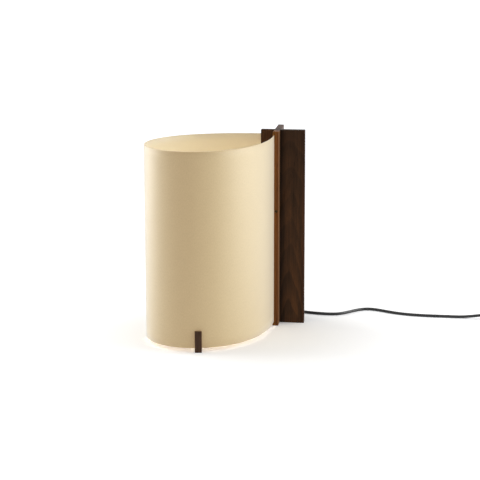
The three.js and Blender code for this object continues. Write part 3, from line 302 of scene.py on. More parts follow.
def walnut(name, dark, mid, light, pith, lean, tints_and_corner_shade=None, sapwood_and_sheen=None):
    """Oiled walnut, sawn near the pith and planed: growth rings that end low down in arches, fine
    dark pores along the grain and a low satin. The grain runs along Z. pith is where the tree's
    middle stands in plan, and its lean opens the arches. tints_and_corner_shade gives tints across
    X, which hold a painted shade in the corner beside the other board as well as the board's own
    tone. sapwood_and_sheen gives where along Y the paler outer wood ends and starts, and its tints
    across X, the last of which is a painted reflection on the face that looks along +X."""
    made, add = material(name, specular_ior_level=0.08)
    place = add("TexCoord").outputs["Object"]
    # Soft bands 45 mm wide, which bend the rings, and 25 mm wide. Both are ten times as long.
    slow = add("Mapping", place, Scale=(1, 1, 0.1))
    drift = add("TexNoise", slow, Scale=22, Detail=2, Roughness=0.5)
    cloud = add("TexNoise", slow, Scale=40, Detail=2)
    # Growth rings, 5.5 mm each: how far from the leaning pith. Each darkens, then drops.
    leaned = add("Mapping", place, (-pith[0], -pith[1], 0), (*lean, 0))
    flat = add("VectorMath", leaned, (1, 1, 0), operation="MULTIPLY")
    reach = add("VectorMath", flat, operation="LENGTH").outputs["Value"]
    wander = add("Math", drift, 0.016, reach, operation="MULTIPLY_ADD")
    count = add("Math", wander, 5.5 * MM, operation="DIVIDE")
    year = add("Math", count, operation="FRACT")
    growth = add("MapRange", year, 0, 0.86, **SMOOTH)
    drop = add("MapRange", year, 0.9, 1, 1, 0, **SMOOTH)
    late = add("Math", growth, drop, operation="MULTIPLY")
    # Fibres 2.4 mm wide and 80 mm long
    fine = add("Mapping", place, Scale=(1, 1, 0.03))
    streak = add("TexNoise", fine, Scale=420, Detail=3, Roughness=0.6)
    # Pores are 0.2 mm wide in the wood. They are drawn 0.8 mm wide here, so that they show.
    thin = add("Mapping", place, Scale=(1, 1, 0.045))
    open_place = add("TexNoise", thin, Scale=1300, Detail=1)
    pore = add("MapRange", open_place, 0.6, 0.72)
    # The rings show most in the lowest 150 mm, where the trunk curved
    part = add("SeparateXYZ", place).outputs
    marked = add("MapRange", part["Z"], 0.08, 0.17, -0.25, -0.12, **SMOOTH)
    shaded = add("Math", late, marked, operation="MULTIPLY")
    tone = add("Math", shaded, cloud, operation="ADD")
    tone = add("Math", streak, 0.7, tone, operation="MULTIPLY_ADD")
    level = add("MapRange", tone, 0.35, 1.15)
    colour = add("ValToRGB", level, stops=((0, dark), (1, light), (0.5, mid)))
    # Tints across X: a painted shade in the corner beside the other board, and the board's own tone
    if tints_and_corner_shade:
        tints = tints_across(add, part["X"], *tints_and_corner_shade)
        colour = add("MixRGB", 1.0, colour, tints, blend_type="MULTIPLY")
    # Paler sapwood along Y, whose tints across X end in a painted reflection on the face that looks
    # along +X
    if sapwood_and_sheen:
        inner, outer, *across = sapwood_and_sheen
        sap = add("MapRange", part["Y"], outer, inner, 1, 0, **SMOOTH)
        strong = add("MapRange", level, 0, 1, 0.62, 1.38)
        tints = tints_across(add, part["X"], *across)
        pale = add("VectorMath", tints, Scale=strong, operation="SCALE")
        colour = add("MixRGB", sap, colour, pale)
    depth = add("Math", pore, 0.55, operation="MULTIPLY")
    pored = add("MixRGB", depth, colour, tint(dark))
    gloss = add("MapRange", streak, 0.3, 0.7, 0.5, 0.38)
    height = add("Math", pore, -1, streak, operation="MULTIPLY_ADD")
    skin = add("Bump", Height=height, Distance=0.08 * MM, Strength=0.6)
    return wire(made, base_color=pored, roughness=gloss, normal=skin)


def tints_across(add, along, start, end, stops):
    """Tints between two places along an axis."""
    return add("ValToRGB", add("MapRange", along, start, end), stops=stops)


def parchment(name, pale, tan, lining, light_through):
    """Parchment card, calendered and satin varnished: a smooth even tan with a fine short-fibred
    cloud, a broad soft gloss, a nap of fine fibres that pales it where light grazes it, and the
    warm light of the bulb that comes through it. The face inside the curl, which the sheet's
    attribute marks, takes the colour of its lining."""
    made, add = material(
        name, roughness=0.525, specular_ior_level=0.785, coat_weight=0.16, coat_roughness=0.405,
        sheen_weight=0.97, sheen_roughness=0.47, emission_color=linear(light_through),
        emission_strength=1.0)
    place = add("TexCoord").outputs["UV"]
    # Clouds 25 mm wide, where the pulp lay thicker
    cloud = add("TexNoise", place, Scale=40, Detail=3, Roughness=0.6)
    # The tooth of the card is 0.5 mm wide and runs up it. It is drawn 2 mm wide, so that it shows.
    laid = add("Mapping", place, Scale=(1, 0.5, 1))
    tooth = add("TexNoise", laid, Scale=560, Detail=2, Roughness=0.6)
    mottle = add("Math", cloud, 0.25, tooth, operation="MULTIPLY_ADD")
    colour = add("ValToRGB", mottle, stops=((0.4, tan), (0.85, pale)))
    inside = add("Attribute", attribute_name="inside").outputs["Fac"]
    colour = add("MixRGB", inside, colour, tint(lining))
    # Fibres are 0.1 mm wide in the sheet. They are drawn 0.6 mm wide here, so that they show.
    curly = add("TexNoise", place, Scale=150, Detail=2, Roughness=0.5, Distortion=2.4)
    away = add("Math", curly, 0.5, operation="SUBTRACT")
    near = add("Math", away, operation="ABSOLUTE")
    fibre = add("MapRange", near, 0, 0.02, 0.1, 0)
    fibred = add("MixRGB", fibre, colour, linear("8f805c"))
    skin = add("Bump", Height=tooth, Distance=0.02 * MM, Strength=0.5)
    return wire(made, base_color=fibred, normal=skin)


def moulded(name, colours, grit, roughness):
    """Moulded plastic or rubber with a fine spark-eroded skin: an even colour, a soft gloss."""
    return patterned(name, colours, 1 / grit, gloss=(roughness - 0.05, roughness + 0.06),
                     relief=(0.02 * MM, 0.6))


def metal(name, colours, roughness, lay=(1, 1, 0.05)):
    """Bare or plated metal: its own colour with faint lines 0.4 mm wide, which run along the axis
    whose scale in lay is small."""
    return patterned(name, colours, 1 / (0.4 * MM), 3, (0.25, 0.75),
                     (roughness - 0.04, roughness + 0.05), (0.004 * MM, 0.4), lay, metallic=1.0)


def powder_coat(name, colours):
    """Baked powder on steel: an orange-peel skin with waves of 1.2 mm and a soft gloss."""
    return patterned(name, colours, 1 / (1.2 * MM), relief=(0.03 * MM, 0.7), roughness=0.42)


def glazed_ceramic(name, colours):
    """Steatite porcelain with a clear glaze: off-white with clouds of 6 mm, and a hard gloss."""
    return patterned(name, colours, 180, relief=(0.05 * MM, 0.4), roughness=0.2, coat_weight=0.5)


def opal_glass(name, colours, glow):
    """Opal glass, blown and lit: a glossy skin, clouds of 17 mm, and a white glow that is strong
    in the dome and falls off down the neck. The glow lights the shade at full strength and is
    seen at a small part of it, as a photograph holds it back, so that the glass keeps its form."""
    made = patterned(name, colours, 60, roughness=0.22, emission_color=linear(glow))
    add = partial(add_node, made.node_tree)
    neck, dome = ends("bulb_glass")[0], middle("bulb_glass")[2]
    up = add("SeparateXYZ", add("TexCoord").outputs["Object"]).outputs["Z"]
    lit = add("MapRange", up, neck, dome, 0.03, **SMOOTH)
    direct = add("LightPath").outputs["Is Camera Ray"]
    full = add("MapRange", direct, 0, 1, settings().light.bulb, 0.15)
    return wire(made, emission_strength=add("Math", lit, full, operation="MULTIPLY"))


def white_paper(name, colour, middle_place):
    """Matt white background paper. It takes shadows as paper does. A light that only the camera
    and reflections see lifts it to white, faintly below the lamp and fully some metres away."""
    made, add = material(name, base_color=linear(colour), roughness=0.9, specular_ior_level=0.1,
                         emission_color=linear("f0f6ff"))
    place = add("TexCoord").outputs["Object"]
    reach = add("VectorMath", place, middle_place, operation="DISTANCE").outputs["Value"]
    near = add("MapRange", reach, 0.1, 0.36, 0.09, 0.28, **SMOOTH)
    far = add("MapRange", reach, 0.3, 3.5, 0, 0.7, **SMOOTH)
    lift = add("Math", near, far, operation="ADD")
    return wire(made, emission_strength=add("Math", seen(add), lift, operation="MULTIPLY"))


@cache
def finish(name):
    """The material of that name, made once."""
    make, *values = FINISHES[name][1:]
    return make(*values)


# The slot of each finish, the function that makes its material, and the function's values
FINISHES = {
    "oiled_walnut_side": (
        "walnut", walnut, "Oiled walnut, side board", "side_dark", "side_mid", "side_light",
        # Across X: a little darker up to 6 mm, then a painted shade in the corner beside the depth
        # board, darkest at 7 mm and gone by 20 mm, and a redder tone from 48 mm to the end
        (0.026, 0.03), (0.1, 0), (-6 * MM, 57 * MM, (
            (0, "e6e2de"), (1, "ffe8dc"), (0.19, "e6e2de"), (0.2, "a8a8a8"), (0.42, "ffffff"),
            (0.86, "ffffff")))),
    "oiled_walnut_depth": (
        "walnut_light", walnut, "Oiled walnut, depth board", "depth_dark", "depth_mid",
        # Sapwood full beyond 20 mm in front of the cross and gone by 7 mm, tinted across X from -6
        # to 6 mm; the last tint, paler and pinker, is a painted reflection on the face that looks
        # along +X
        "depth_light", (-0.05, 0.03), (0, 0.08), None, (-7 * MM, -20 * MM, -6 * MM, 6 * MM, (
            (0, "82572a"), (1, "6e4e33"), (0.45, "764b23"), (0.6, "6c411f"), (0.95, "5e391c")))),
    "oiled_walnut_foot": (
        "walnut", walnut, "Oiled walnut, foot", "foot_dark", "foot_mid", "foot_light",
        (-0.11, -0.2), (0.03, 0)),
    "parchment_card": (
        "parchment", parchment, "Parchment card", "card_pale", "card_tan", "card_lining",
        "633700"),
    "pvc_cord": (
        "black_rubber", moulded, "PVC cord sheath", ("cord_dark", "cord_light"), 0.8 * MM, 0.38),
    "soft_pvc": (
        "black_rubber", moulded, "Soft PVC reliefs", ("0e0e0e", "181818"), 0.3 * MM, 0.5),
    "abs_black": ("black_plastic", moulded, "Moulded ABS", ("101010", "1b1b1b"), 0.35 * MM, 0.4),
    "phenolic": (
        "black_plastic", moulded, "Moulded phenolic", ("0d0c0b", "181614"), 0.5 * MM, 0.28),
    "nylon": ("black_plastic", moulded, "Moulded nylon", ("121212", "1d1d1d"), 0.5 * MM, 0.45),
    "zinc_plate": ("zinc_steel", metal, "Zinc plated steel", ("9da0a4", "c4c7ca"), 0.32),
    "blackened_steel": (
        "black_steel", metal, "Blackened steel", ("3a2b17", "55412a"), 0.4, (1, 0.05, 1)),
    "brass": ("brass", metal, "Turned brass", ("a07c38", "c9a55c"), 0.3),
    "tin_solder": ("zinc_steel", metal, "Tin solder", ("9a9a98", "c2c2c0"), 0.35, (1, 1, 1)),
    "nickel_brass": (
        "zinc_steel", metal, "Nickel plated brass", ("b8b5ab", "cac7bd"), 0.22, (0.04, 1, 1)),
    "powder_coat": ("black_steel", powder_coat, "Powder coated steel", ("161616", "202020")),
    "ceramic": ("ceramic", glazed_ceramic, "Glazed steatite", ("e4e0d6", "efece4")),
    "opal_glass": ("opal_glass", opal_glass, "Opal glass", ("dfd9ca", "e8e2d4"), "fff2eb"),
}


# Surfaces


def linked(name, data):
    """A new object that is linked to the scene."""
    made = bpy.data.objects.new(name, data)
    bpy.context.collection.objects.link(made)
    return made


def put(name, points, faces, finish_name, replaces, uv=None, **values):
    """Puts arrays of points and faces into a mesh object, and dresses it."""
    mesh = bpy.data.meshes.new(name)
    mesh.from_pydata(np.asarray(points).tolist(), [], faces)
    mesh.update()
    piece = linked(name, mesh)
    if uv is not None:
        loops = np.empty(len(mesh.loops), np.int32)
        mesh.loops.foreach_get("vertex_index", loops)
        mesh.uv_layers.new(name="UVMap").data.foreach_set("uv", np.asarray(uv)[loops].ravel())
    return dress(piece, finish_name, replaces, **values)


def dress(piece, finish_name, replaces, body=POST, sharp=32):
    """Smooths a piece up to an angle, gives it its material and body, and hides the CAD nodes it
    replaces.
    """
    if piece.type == "MESH":
        mesh = piece.data
        mesh.polygons.foreach_set("use_smooth", np.ones(len(mesh.polygons), bool))
        mesh.set_sharp_from_angle(angle=np.radians(sharp))
    piece.data.materials.clear()
    piece.data.materials.append(finish(finish_name))
    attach(piece, body)
    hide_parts(*replaces)
    return piece


def grid_faces(rows, columns, closed=False):
    """Faces of rows that are rings, each (i, j), (i, j+1), (i+1, j+1), (i+1, j). If closed, the
    last row joins the first. If not, each end has a face."""
    i = np.arange(rows if closed else rows - 1)[:, None]
    j = np.arange(columns)
    corners = ((i, j), (i, j + 1), (i + 1, j + 1), (i + 1, j))
    faces = np.stack([a % rows * columns + b % columns for a, b in corners], -1)
    faces = faces.reshape(-1, 4).tolist()
    if not closed:
        faces += [list(range(columns))[::-1], list(range((rows - 1) * columns, rows * columns))]
    return faces


def turned(profile, sides, ripple=None, dent=None):
    """Point (r, h) of a profile at angle a goes to ((r + ripple) cos a, (r + ripple) sin a,
    h + dent). The profile runs from the bottom round the outside to the top, and may close on
    itself."""
    profile = np.asarray(profile, float)
    ring = np.allclose(profile[0], profile[-1])
    if ring:
        profile = profile[:-1]
    angle = np.linspace(0, 2 * np.pi, sides, endpoint=False)
    radius, height = profile.T[..., None] + np.zeros(sides)
    if ripple:
        radius = radius + ripple(height, angle, radius)
    across = radius * np.cos(angle), radius * np.sin(angle)
    if dent:
        height = height + dent(*across, height)
    points = np.stack([*across, height], -1).reshape(-1, 3)
    return points, grid_faces(len(profile), sides, closed=ring)


def set_on(points, node, axis, way=1):
    """Turns points made along +Z, so that they run along an axis from one end of a CAD node."""
    start = middle(node)
    start[axis] = ends(node, axis)[0 if way > 0 else 1]
    direction = [0, 0, 0]
    direction[axis] = way
    turn = np.array(Vector((0, 0, 1)).rotation_difference(Vector(direction)).to_matrix())
    return points @ turn.T + start


def rounded(corners, radius):
    """Rounds a profile's inner corners. Each becomes the curve B(t) = (1-t)^2 a + 2t(1-t) b + t^2 c
    between points that lie a radius, or at most half a side, from the corner. Doubled points go."""
    corners = np.asarray(corners, float)
    t = np.linspace(0, 1, 5)[:, None]
    made = [corners[:1]]
    for before, corner, after in zip(corners, corners[1:], corners[2:]):
        a, c = (corner + unit(side) * min(radius, np.linalg.norm(side) / 2)
                for side in (before - corner, after - corner))
        made.append((1 - t) ** 2 * a + 2 * t * (1 - t) * corner + t ** 2 * c)
    made = np.vstack([*made, corners[-1:]])
    return made[np.r_[True, legs(made) > DOUBLED]]


def denser(profile, step):
    """Adds points along a profile so that none of its sides is longer than a step."""
    profile = np.asarray(profile, float)
    made = [profile[:1]]
    for a, b in zip(profile, profile[1:]):
        count = max(1, int(np.ceil(np.linalg.norm(b - a) / step)))
        made.append(a + (b - a) * (np.arange(1, count + 1) / count)[:, None])
    return np.vstack(made)


def faded(height, start, end, run):
    """1 between two heights, and falling to 0 over a run inside each of them."""
    return np.clip((height - start) / run, 0, 1) * np.clip((end - height) / run, 0, 1)


def wave(angle):
    """(1 - cos a) / 2, which runs from 0 to 1 and back."""
    return (1 - np.cos(angle)) / 2


def helix(height, angle, pitch):
    """Wave of a thread: (1 - cos(2 pi h/pitch - a)) / 2."""
    return wave(2 * np.pi * height / pitch - angle)


def cut_thread(pitch, depth, start, end, outside):
    """Thread: the radius dips by depth times the helix between two heights, and fades in over half
    a pitch at each end. Only points further out than outside are cut."""
    def ripple(height, angle, radius):
        fade = np.clip(2 * faded(height, start, end, pitch), 0, 1)
        return -depth * helix(height, angle, pitch) * fade * (radius > outside)
    return ripple


def rolled_thread(start, end, rise):
    """Lamp cap's thread of sheet metal, 3.6 mm pitch: both faces move by rise times the helix
    together, which fades in over half a pitch."""
    pitch = 3.629 * MM

    def ripple(height, angle, radius):
        return rise * faded(height, start, end, pitch / 2) * helix(height, angle, pitch)
    return ripple


def flutes(start, end):
    """Grip ribs: the outside dips by 0.35 mm (1 - cos 40 a) / 2 between two heights."""
    def ripple(height, angle, radius):
        fade = faded(height, start, end, 1.5 * MM)
        return -0.35 * MM * fade * wave(40 * angle) * (radius > 20.2 * MM)
    return ripple


def ribbed_tail(root, tip, long, ribs, groove, start):
    """Corners of a taper from root to tip with square grooves, and a mouth in its tip for the
    cord. A groove is half as wide as the bay between two grooves' middles."""
    bay = long / (ribs + 1)
    places = bay * np.arange(1, ribs + 1)
    radii = root + (tip - root) * places / long
    corners = [(root, start)]
    for place, radius in zip(places, radii):
        corners += [
            (radius, start + place - bay / 4), (radius - groove, start + place - bay / 4),
            (radius - groove, start + place + bay / 4), (radius, start + place + bay / 4)]
    mouth, end = settings().cord.diameter / 2 + MOUTH_ROOM, start + long
    return corners + [(tip, end), (mouth, end), (mouth, end - MOUTH_DEEP),
                      (POLE / 2, end - MOUTH_DEEP)]


def turn_on(node, profile, finish_name, axis, way=1, sides=72, kind="_turned"):
    """Turns a profile along an axis from one end of a CAD node's box."""
    points, faces = turned(profile, sides)
    return put(node + kind, set_on(points, node, axis, way), faces, finish_name, (node,))


def relief(node, corners, radius, axis, way=1):
    """Moulds a ribbed relief round a cord."""
    profile = denser(rounded(corners, radius), 1 * MM)
    return turn_on(node, profile, "soft_pvc", axis, way, kind="_ribs")


def turn_upright(node, profile, finish_name, ripple=None, sides=96):
    """Turns a profile, whose heights are above the table, about the lamp's axis."""
    points, faces = turned(profile, sides, ripple)
    centre = [*middle(node)[:2], 0]
    return put(node + "_turned", points + centre, faces, finish_name, (node,))


def ringed(node, corners, radius, finish_name, ripple=None, step=1 * MM, sides=96):
    """Turns a closed section about the lamp's axis, with its corners rounded. The section may be
    an inner and an outer radius, for a plain ring as high as the CAD node."""
    if len(corners) == 2:
        (inner, outer), (bottom, top) = corners, ends(node)
        corners = (inner, bottom), (outer, bottom), (outer, top), (inner, top)
    profile = denser(rounded([*corners, corners[0]], radius), step)
    return turn_upright(node, profile, finish_name, ripple, sides)


def screw(node, axis, size, sunk=False, finish_name="zinc_plate"):
    """A cross-recessed screw on a CAD screw's box. The recess sinks the head where
    min(|x|, |y|) and max(|x|, |y|) both lie inside a slot, and a helix is cut in the shank."""
    head_radius, head_high, radius = size
    start, end = ends(node, axis)
    long = end - start
    crown = 0.0 if sunk else head_high / 2
    disc = np.linspace(POLE, head_radius - crown, 28)
    top = np.stack([disc, 0 * disc], -1)
    if sunk:
        side = [(head_radius, 0.12 * MM), (radius, head_high)]
    else:
        turn = np.linspace(0, np.pi / 2, 7)[1:, None]
        side = np.hstack([head_radius - crown + crown * np.sin(turn), crown - crown * np.cos(turn)])
        side = np.vstack([side, [(head_radius, head_high), (radius, head_high)]])
    shank = denser([side[-1], (radius, long - 2 * radius), (0.15 * MM, long)], 0.2 * MM)
    slot_long, slot_wide, slope = (share * head_radius for share in (0.62, 0.13, 0.12))

    def recess(x, y, height):
        near, far = np.minimum(abs(x), abs(y)), np.maximum(abs(x), abs(y))
        sink = np.clip((slot_wide - near) / slope + 0.5, 0, 1)
        sink = sink * np.clip((slot_long - far) / slope, 0, 1)
        return 0.5 * head_high * sink * (height < 0.05 * MM)

    thread = cut_thread(
        1.4 * MM, 0.3 * radius, head_high + 2 * MM, long - radius, outside=0.6 * radius)
    points, faces = turned(np.vstack([top, side[:-1], shank]), 48, thread, recess)
    return put(node + "_turned", set_on(points, node, axis), faces, finish_name, (node,),
               sharp=35)


def merge_doubles(mesh, flat=None):
    """Merges a mesh's doubled points, and makes faces whole that meet at less than an angle."""
    form = bmesh.new()
    form.from_mesh(mesh)
    bmesh.ops.remove_doubles(form, verts=form.verts, dist=MERGED)
    if flat:
        bmesh.ops.dissolve_limit(form, angle_limit=flat, verts=form.verts, edges=form.edges)
    form.to_mesh(mesh)
    form.free()


def softened(node, finish_name, width, segments=2, body=POST):
    """A copy of a CAD node with its edges rounded."""
    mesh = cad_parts[node].data.copy()
    mesh.name = node + "_dressed"
    merge_doubles(mesh, flat=np.radians(0.8))
    piece = linked(node + "_dressed", mesh)
    given(piece.modifiers.new("Rounded edges", "BEVEL"), width=width, segments=segments,
          limit_method="ANGLE", angle_limit=np.radians(28), use_clamp_overlap=True,
          harden_normals=True)
    return dress(piece, finish_name, (node,), body, sharp=40)


def unit(vector):
    """A vector's direction, as a vector of length 1."""
    return vector / np.linalg.norm(vector)


def legs(line):
    """How far each point of a line is from the next."""
    return np.linalg.norm(np.diff(line, axis=0), axis=1)


def smooth_route(points, step):
    """A smooth curve through points, resampled at even steps: between p1 and p2 it is the cubic
    whose end slopes are set by the square roots of the neighbouring distances."""
    p = np.vstack([2 * points[:1] - points[1:2], points, 2 * points[-1:] - points[-2:-1]])
    knot = np.sqrt(legs(p))[:, None]
    p0, p1, p2, p3 = p[:-3], p[1:-2], p[2:-1], p[3:]
    d0, d1, d2 = knot[:-2], knot[1:-1], knot[2:]
    m1 = d1 * ((p1 - p0) / d0 - (p2 - p0) / (d0 + d1) + (p2 - p1) / d1)
    m2 = d1 * ((p2 - p1) / d1 - (p3 - p1) / (d1 + d2) + (p3 - p2) / d2)
    t = np.linspace(0, 1, 24, endpoint=False)[:, None, None]
    fine = p1 + m1 * t + (3 * (p2 - p1) - 2 * m1 - m2) * t ** 2 + (2 * (p1 - p2) + m1 + m2) * t ** 3
    fine = np.vstack([fine.transpose(1, 0, 2).reshape(-1, 3), points[-1:]])
    return resampled(fine, step)


def resampled(line, step):
    """The same line with points at even steps along it."""
    along = np.r_[0, np.cumsum(legs(line))]
    places = np.linspace(0, along[-1], max(2, int(round(along[-1] / step)) + 1))
    return np.stack([np.interp(places, along, line[:, k]) for k in range(3)], -1)


def coil_line(step):
    """The coil's middle line: its radius falls by one pitch a turn to the middle and grows again,
    it climbs one pitch in the half turn about the middle, and its ends run straight."""
    total = 2 * np.pi * COIL_TURNS
    curled = total * (COIL_RADIUS - COIL_PITCH * COIL_TURNS / 4)
    along = np.linspace(-COIL_END, curled + COIL_END, int((curled + 2 * COIL_END) / step * 4))
    angle = np.clip(along, 0, curled) / curled * total
    radius = COIL_RADIUS - COIL_PITCH * np.minimum(angle, total - angle) / (2 * np.pi)
    climb = np.clip((angle - total / 2) / np.pi + 0.5, 0, 1)
    straight = np.maximum(along - curled, 0) - np.minimum(along, 0)
    line = COIL_CENTRE + np.stack([
        straight - radius * np.sin(angle), radius * np.cos(angle),
        COIL_PITCH * wave(np.pi * climb)], -1)
    return resampled(line, step)


def bent(corners, radius, step):
    """Straight runs between corners. At each corner an arc starts and ends radius tan(angle / 2)
    away from it, and is start + radius (sin t along the first run + (1 - cos t) inwards)."""
    corners = np.asarray(corners, float)
    made = [corners[:1]]
    for before, corner, after in zip(corners, corners[1:], corners[2:]):
        come, go = unit(corner - before), unit(after - corner)
        angle = np.arccos(np.clip(come @ go, -1, 1))
        inward = unit(go - come * (come @ go))
        turn = np.linspace(0, angle, 24)[:, None]
        made.append(corner - come * radius * np.tan(angle / 2)
                    + radius * (np.sin(turn) * come + (1 - np.cos(turn)) * inward))
    made.append(corners[-1:])
    return resampled(np.vstack(made), step)


def tucked(line):
    """Runs a cord's line straight on by the tuck at both ends."""
    return np.vstack([line[0] + unit(line[0] - line[1]) * TUCK, line,
                      line[-1] + unit(line[-1] - line[-2]) * TUCK])


def tube(name, line, replaces):
    """A round cord as a curve along its middle line."""
    curve = given(bpy.data.curves.new(name, "CURVE"), dimensions="3D", bevel_resolution=6,
                  bevel_depth=settings().cord.diameter / 2, use_fill_caps=True)
    spline = given(curve.splines.new("POLY"), use_smooth=True)
    spline.points.add(len(line) - 1)
    spline.points.foreach_set("co", np.c_[line, np.ones(len(line))].ravel())
    return dress(linked(name, curve), "pvc_cord", replaces)


# Operators


class LAMP_OT_camera(bpy.types.Operator):
    """Stands the camera where the photograph was taken from"""

    bl_idname = "lamp.camera"
    bl_label = "Camera"

    def execute(self, context):
        chosen = settings().camera
        data = given(bpy.data.cameras.new("photo_camera"), lens=chosen.lens, sensor_width=36,
                     clip_end=100)
        camera = linked("photo_camera", data)
        camera.matrix_world = (
            Matrix.Translation(chosen.place) @ Matrix.Rotation(chosen.yaw, 4, "Z")
            @ Matrix.Rotation(np.pi / 2 - chosen.pitch, 4, "X")
            @ Matrix.Rotation(chosen.roll, 4, "Z"))
        context.scene.camera = camera
        return {"FINISHED"}


class LAMP_OT_cords(bpy.types.Operator):
    """Lays the free cord to the switch, and on to the coil and the plug"""

    bl_idname = "lamp.cords"
    bl_label = "Cords"

    def execute(self, context):
        step = 2.5 * MM
        for name, route, replaces in (
            ("cord_to_switch_line", smooth_route(ROUTE_TO_SWITCH, step), ("cord_to_switch",)),
            ("cord_to_plug_line", np.vstack([
                smooth_route(ROUTE_TO_COIL, step), coil_line(2.2 * MM)[1:],
                smooth_route(ROUTE_TO_PLUG, step)[1:]]),
             ("cord_to_coil", "cord_coil", "cord_to_plug")),
        ):
            line = tucked(route)
            piece = tube(name, line, replaces)
            piece["line_length"] = float(legs(line).sum())
            piece["line_start"] = [float(x) for x in line[0]]
        return {"FINISHED"}


def curl_heading(share, swell):
    """Heading at a share of the curl: pi + 3/2 pi s - swell sin(2 pi s)."""
    return np.pi + 1.5 * np.pi * share - swell * np.sin(2 * np.pi * share)


def curl_line(chosen):
    """The sheet's middle line in plan and its heading, from one kerf to the other. The swell that
    brings the far edge to its kerf is found by halving."""
    steps = 360

    def walk(swell):
        """Adds up short legs, each in the direction of its heading."""
        heading = curl_heading((np.arange(steps) + 0.5) / steps, swell)
        leg = np.stack([np.cos(heading), np.sin(heading)], -1) * chosen.curl_length / steps
        start = np.array([[-chosen.wing, -chosen.kerf_inset]])
        return np.vstack([start, start + np.cumsum(leg, 0)])

    low_swell, high_swell = 0.0, 1.0
    for _ in range(50):
        swell = (low_swell + high_swell) / 2
        if walk(swell)[-1, 0] > -chosen.kerf_inset:
            low_swell = swell
        else:
            high_swell = swell
    return walk(swell), curl_heading(np.arange(steps + 1) / steps, swell)


class LAMP_OT_sheet(bpy.types.Operator):
    """Curls the parchment sheet from kerf to kerf"""

    bl_idname = "lamp.sheet"
    bl_label = "Curled sheet"

    def execute(self, context):
        chosen = settings().sheet
        line, heading = curl_line(chosen)
        way = np.stack([np.cos(heading), np.sin(heading)], -1)
        line = np.vstack([line[0] - chosen.tail * way[0], line, line[-1] + chosen.tail * way[-1]])
        heading = np.r_[heading[0], heading, heading[-1]]
        along = np.r_[0, np.cumsum(legs(line))]
        # Section of the card: outer face, top rim, inner face, bottom rim, with eased corners
        half, ease, steps = chosen.thickness / 2, 0.25 * MM, 25
        bottom, top = ends("shade_sheet")
        levels = np.linspace(bottom + ease, top - ease, steps)
        out = np.r_[np.full(steps, -half), -half + ease, half - ease,
                    np.full(steps, half), half - ease, -half + ease]
        up = np.r_[levels, top, top, levels[::-1], bottom, bottom]
        inward = np.stack([-np.sin(heading), np.cos(heading)], -1)
        plan = line[:, None, :] + inward[:, None, :] * out[None, :, None]
        rows, columns = size = plan.shape[:2]
        points = np.concatenate([plan, np.broadcast_to(up, size)[..., None]], -1)
        faces = [face[::-1] for face in grid_faces(rows, columns)]
        uv = np.stack([np.broadcast_to(along[:, None], size), np.broadcast_to(up, size)], -1)
        piece = put("curled_sheet", points.reshape(-1, 3), faces, "parchment_card",
                    ("shade_sheet",), uv.reshape(-1, 2), body=SHADE, sharp=50)
        inside = piece.data.attributes.new("inside", "FLOAT", "POINT")
        inside.data.foreach_set("value", np.broadcast_to(out > 0, size).ravel().astype(float))
        return {"FINISHED"}


class LAMP_OT_wood(bpy.types.Operator):
    """Rounds and oils the two boards and the foot"""

    bl_idname = "lamp.wood"
    bl_label = "Boards and foot"

    def execute(self, context):
        softened("post_side_board", "oiled_walnut_side", 0.25 * MM)
        softened("post_depth_board", "oiled_walnut_depth", 0.25 * MM)
        softened("shade_foot", "oiled_walnut_foot", 0.25 * MM, body=SHADE)
        return {"FINISHED"}


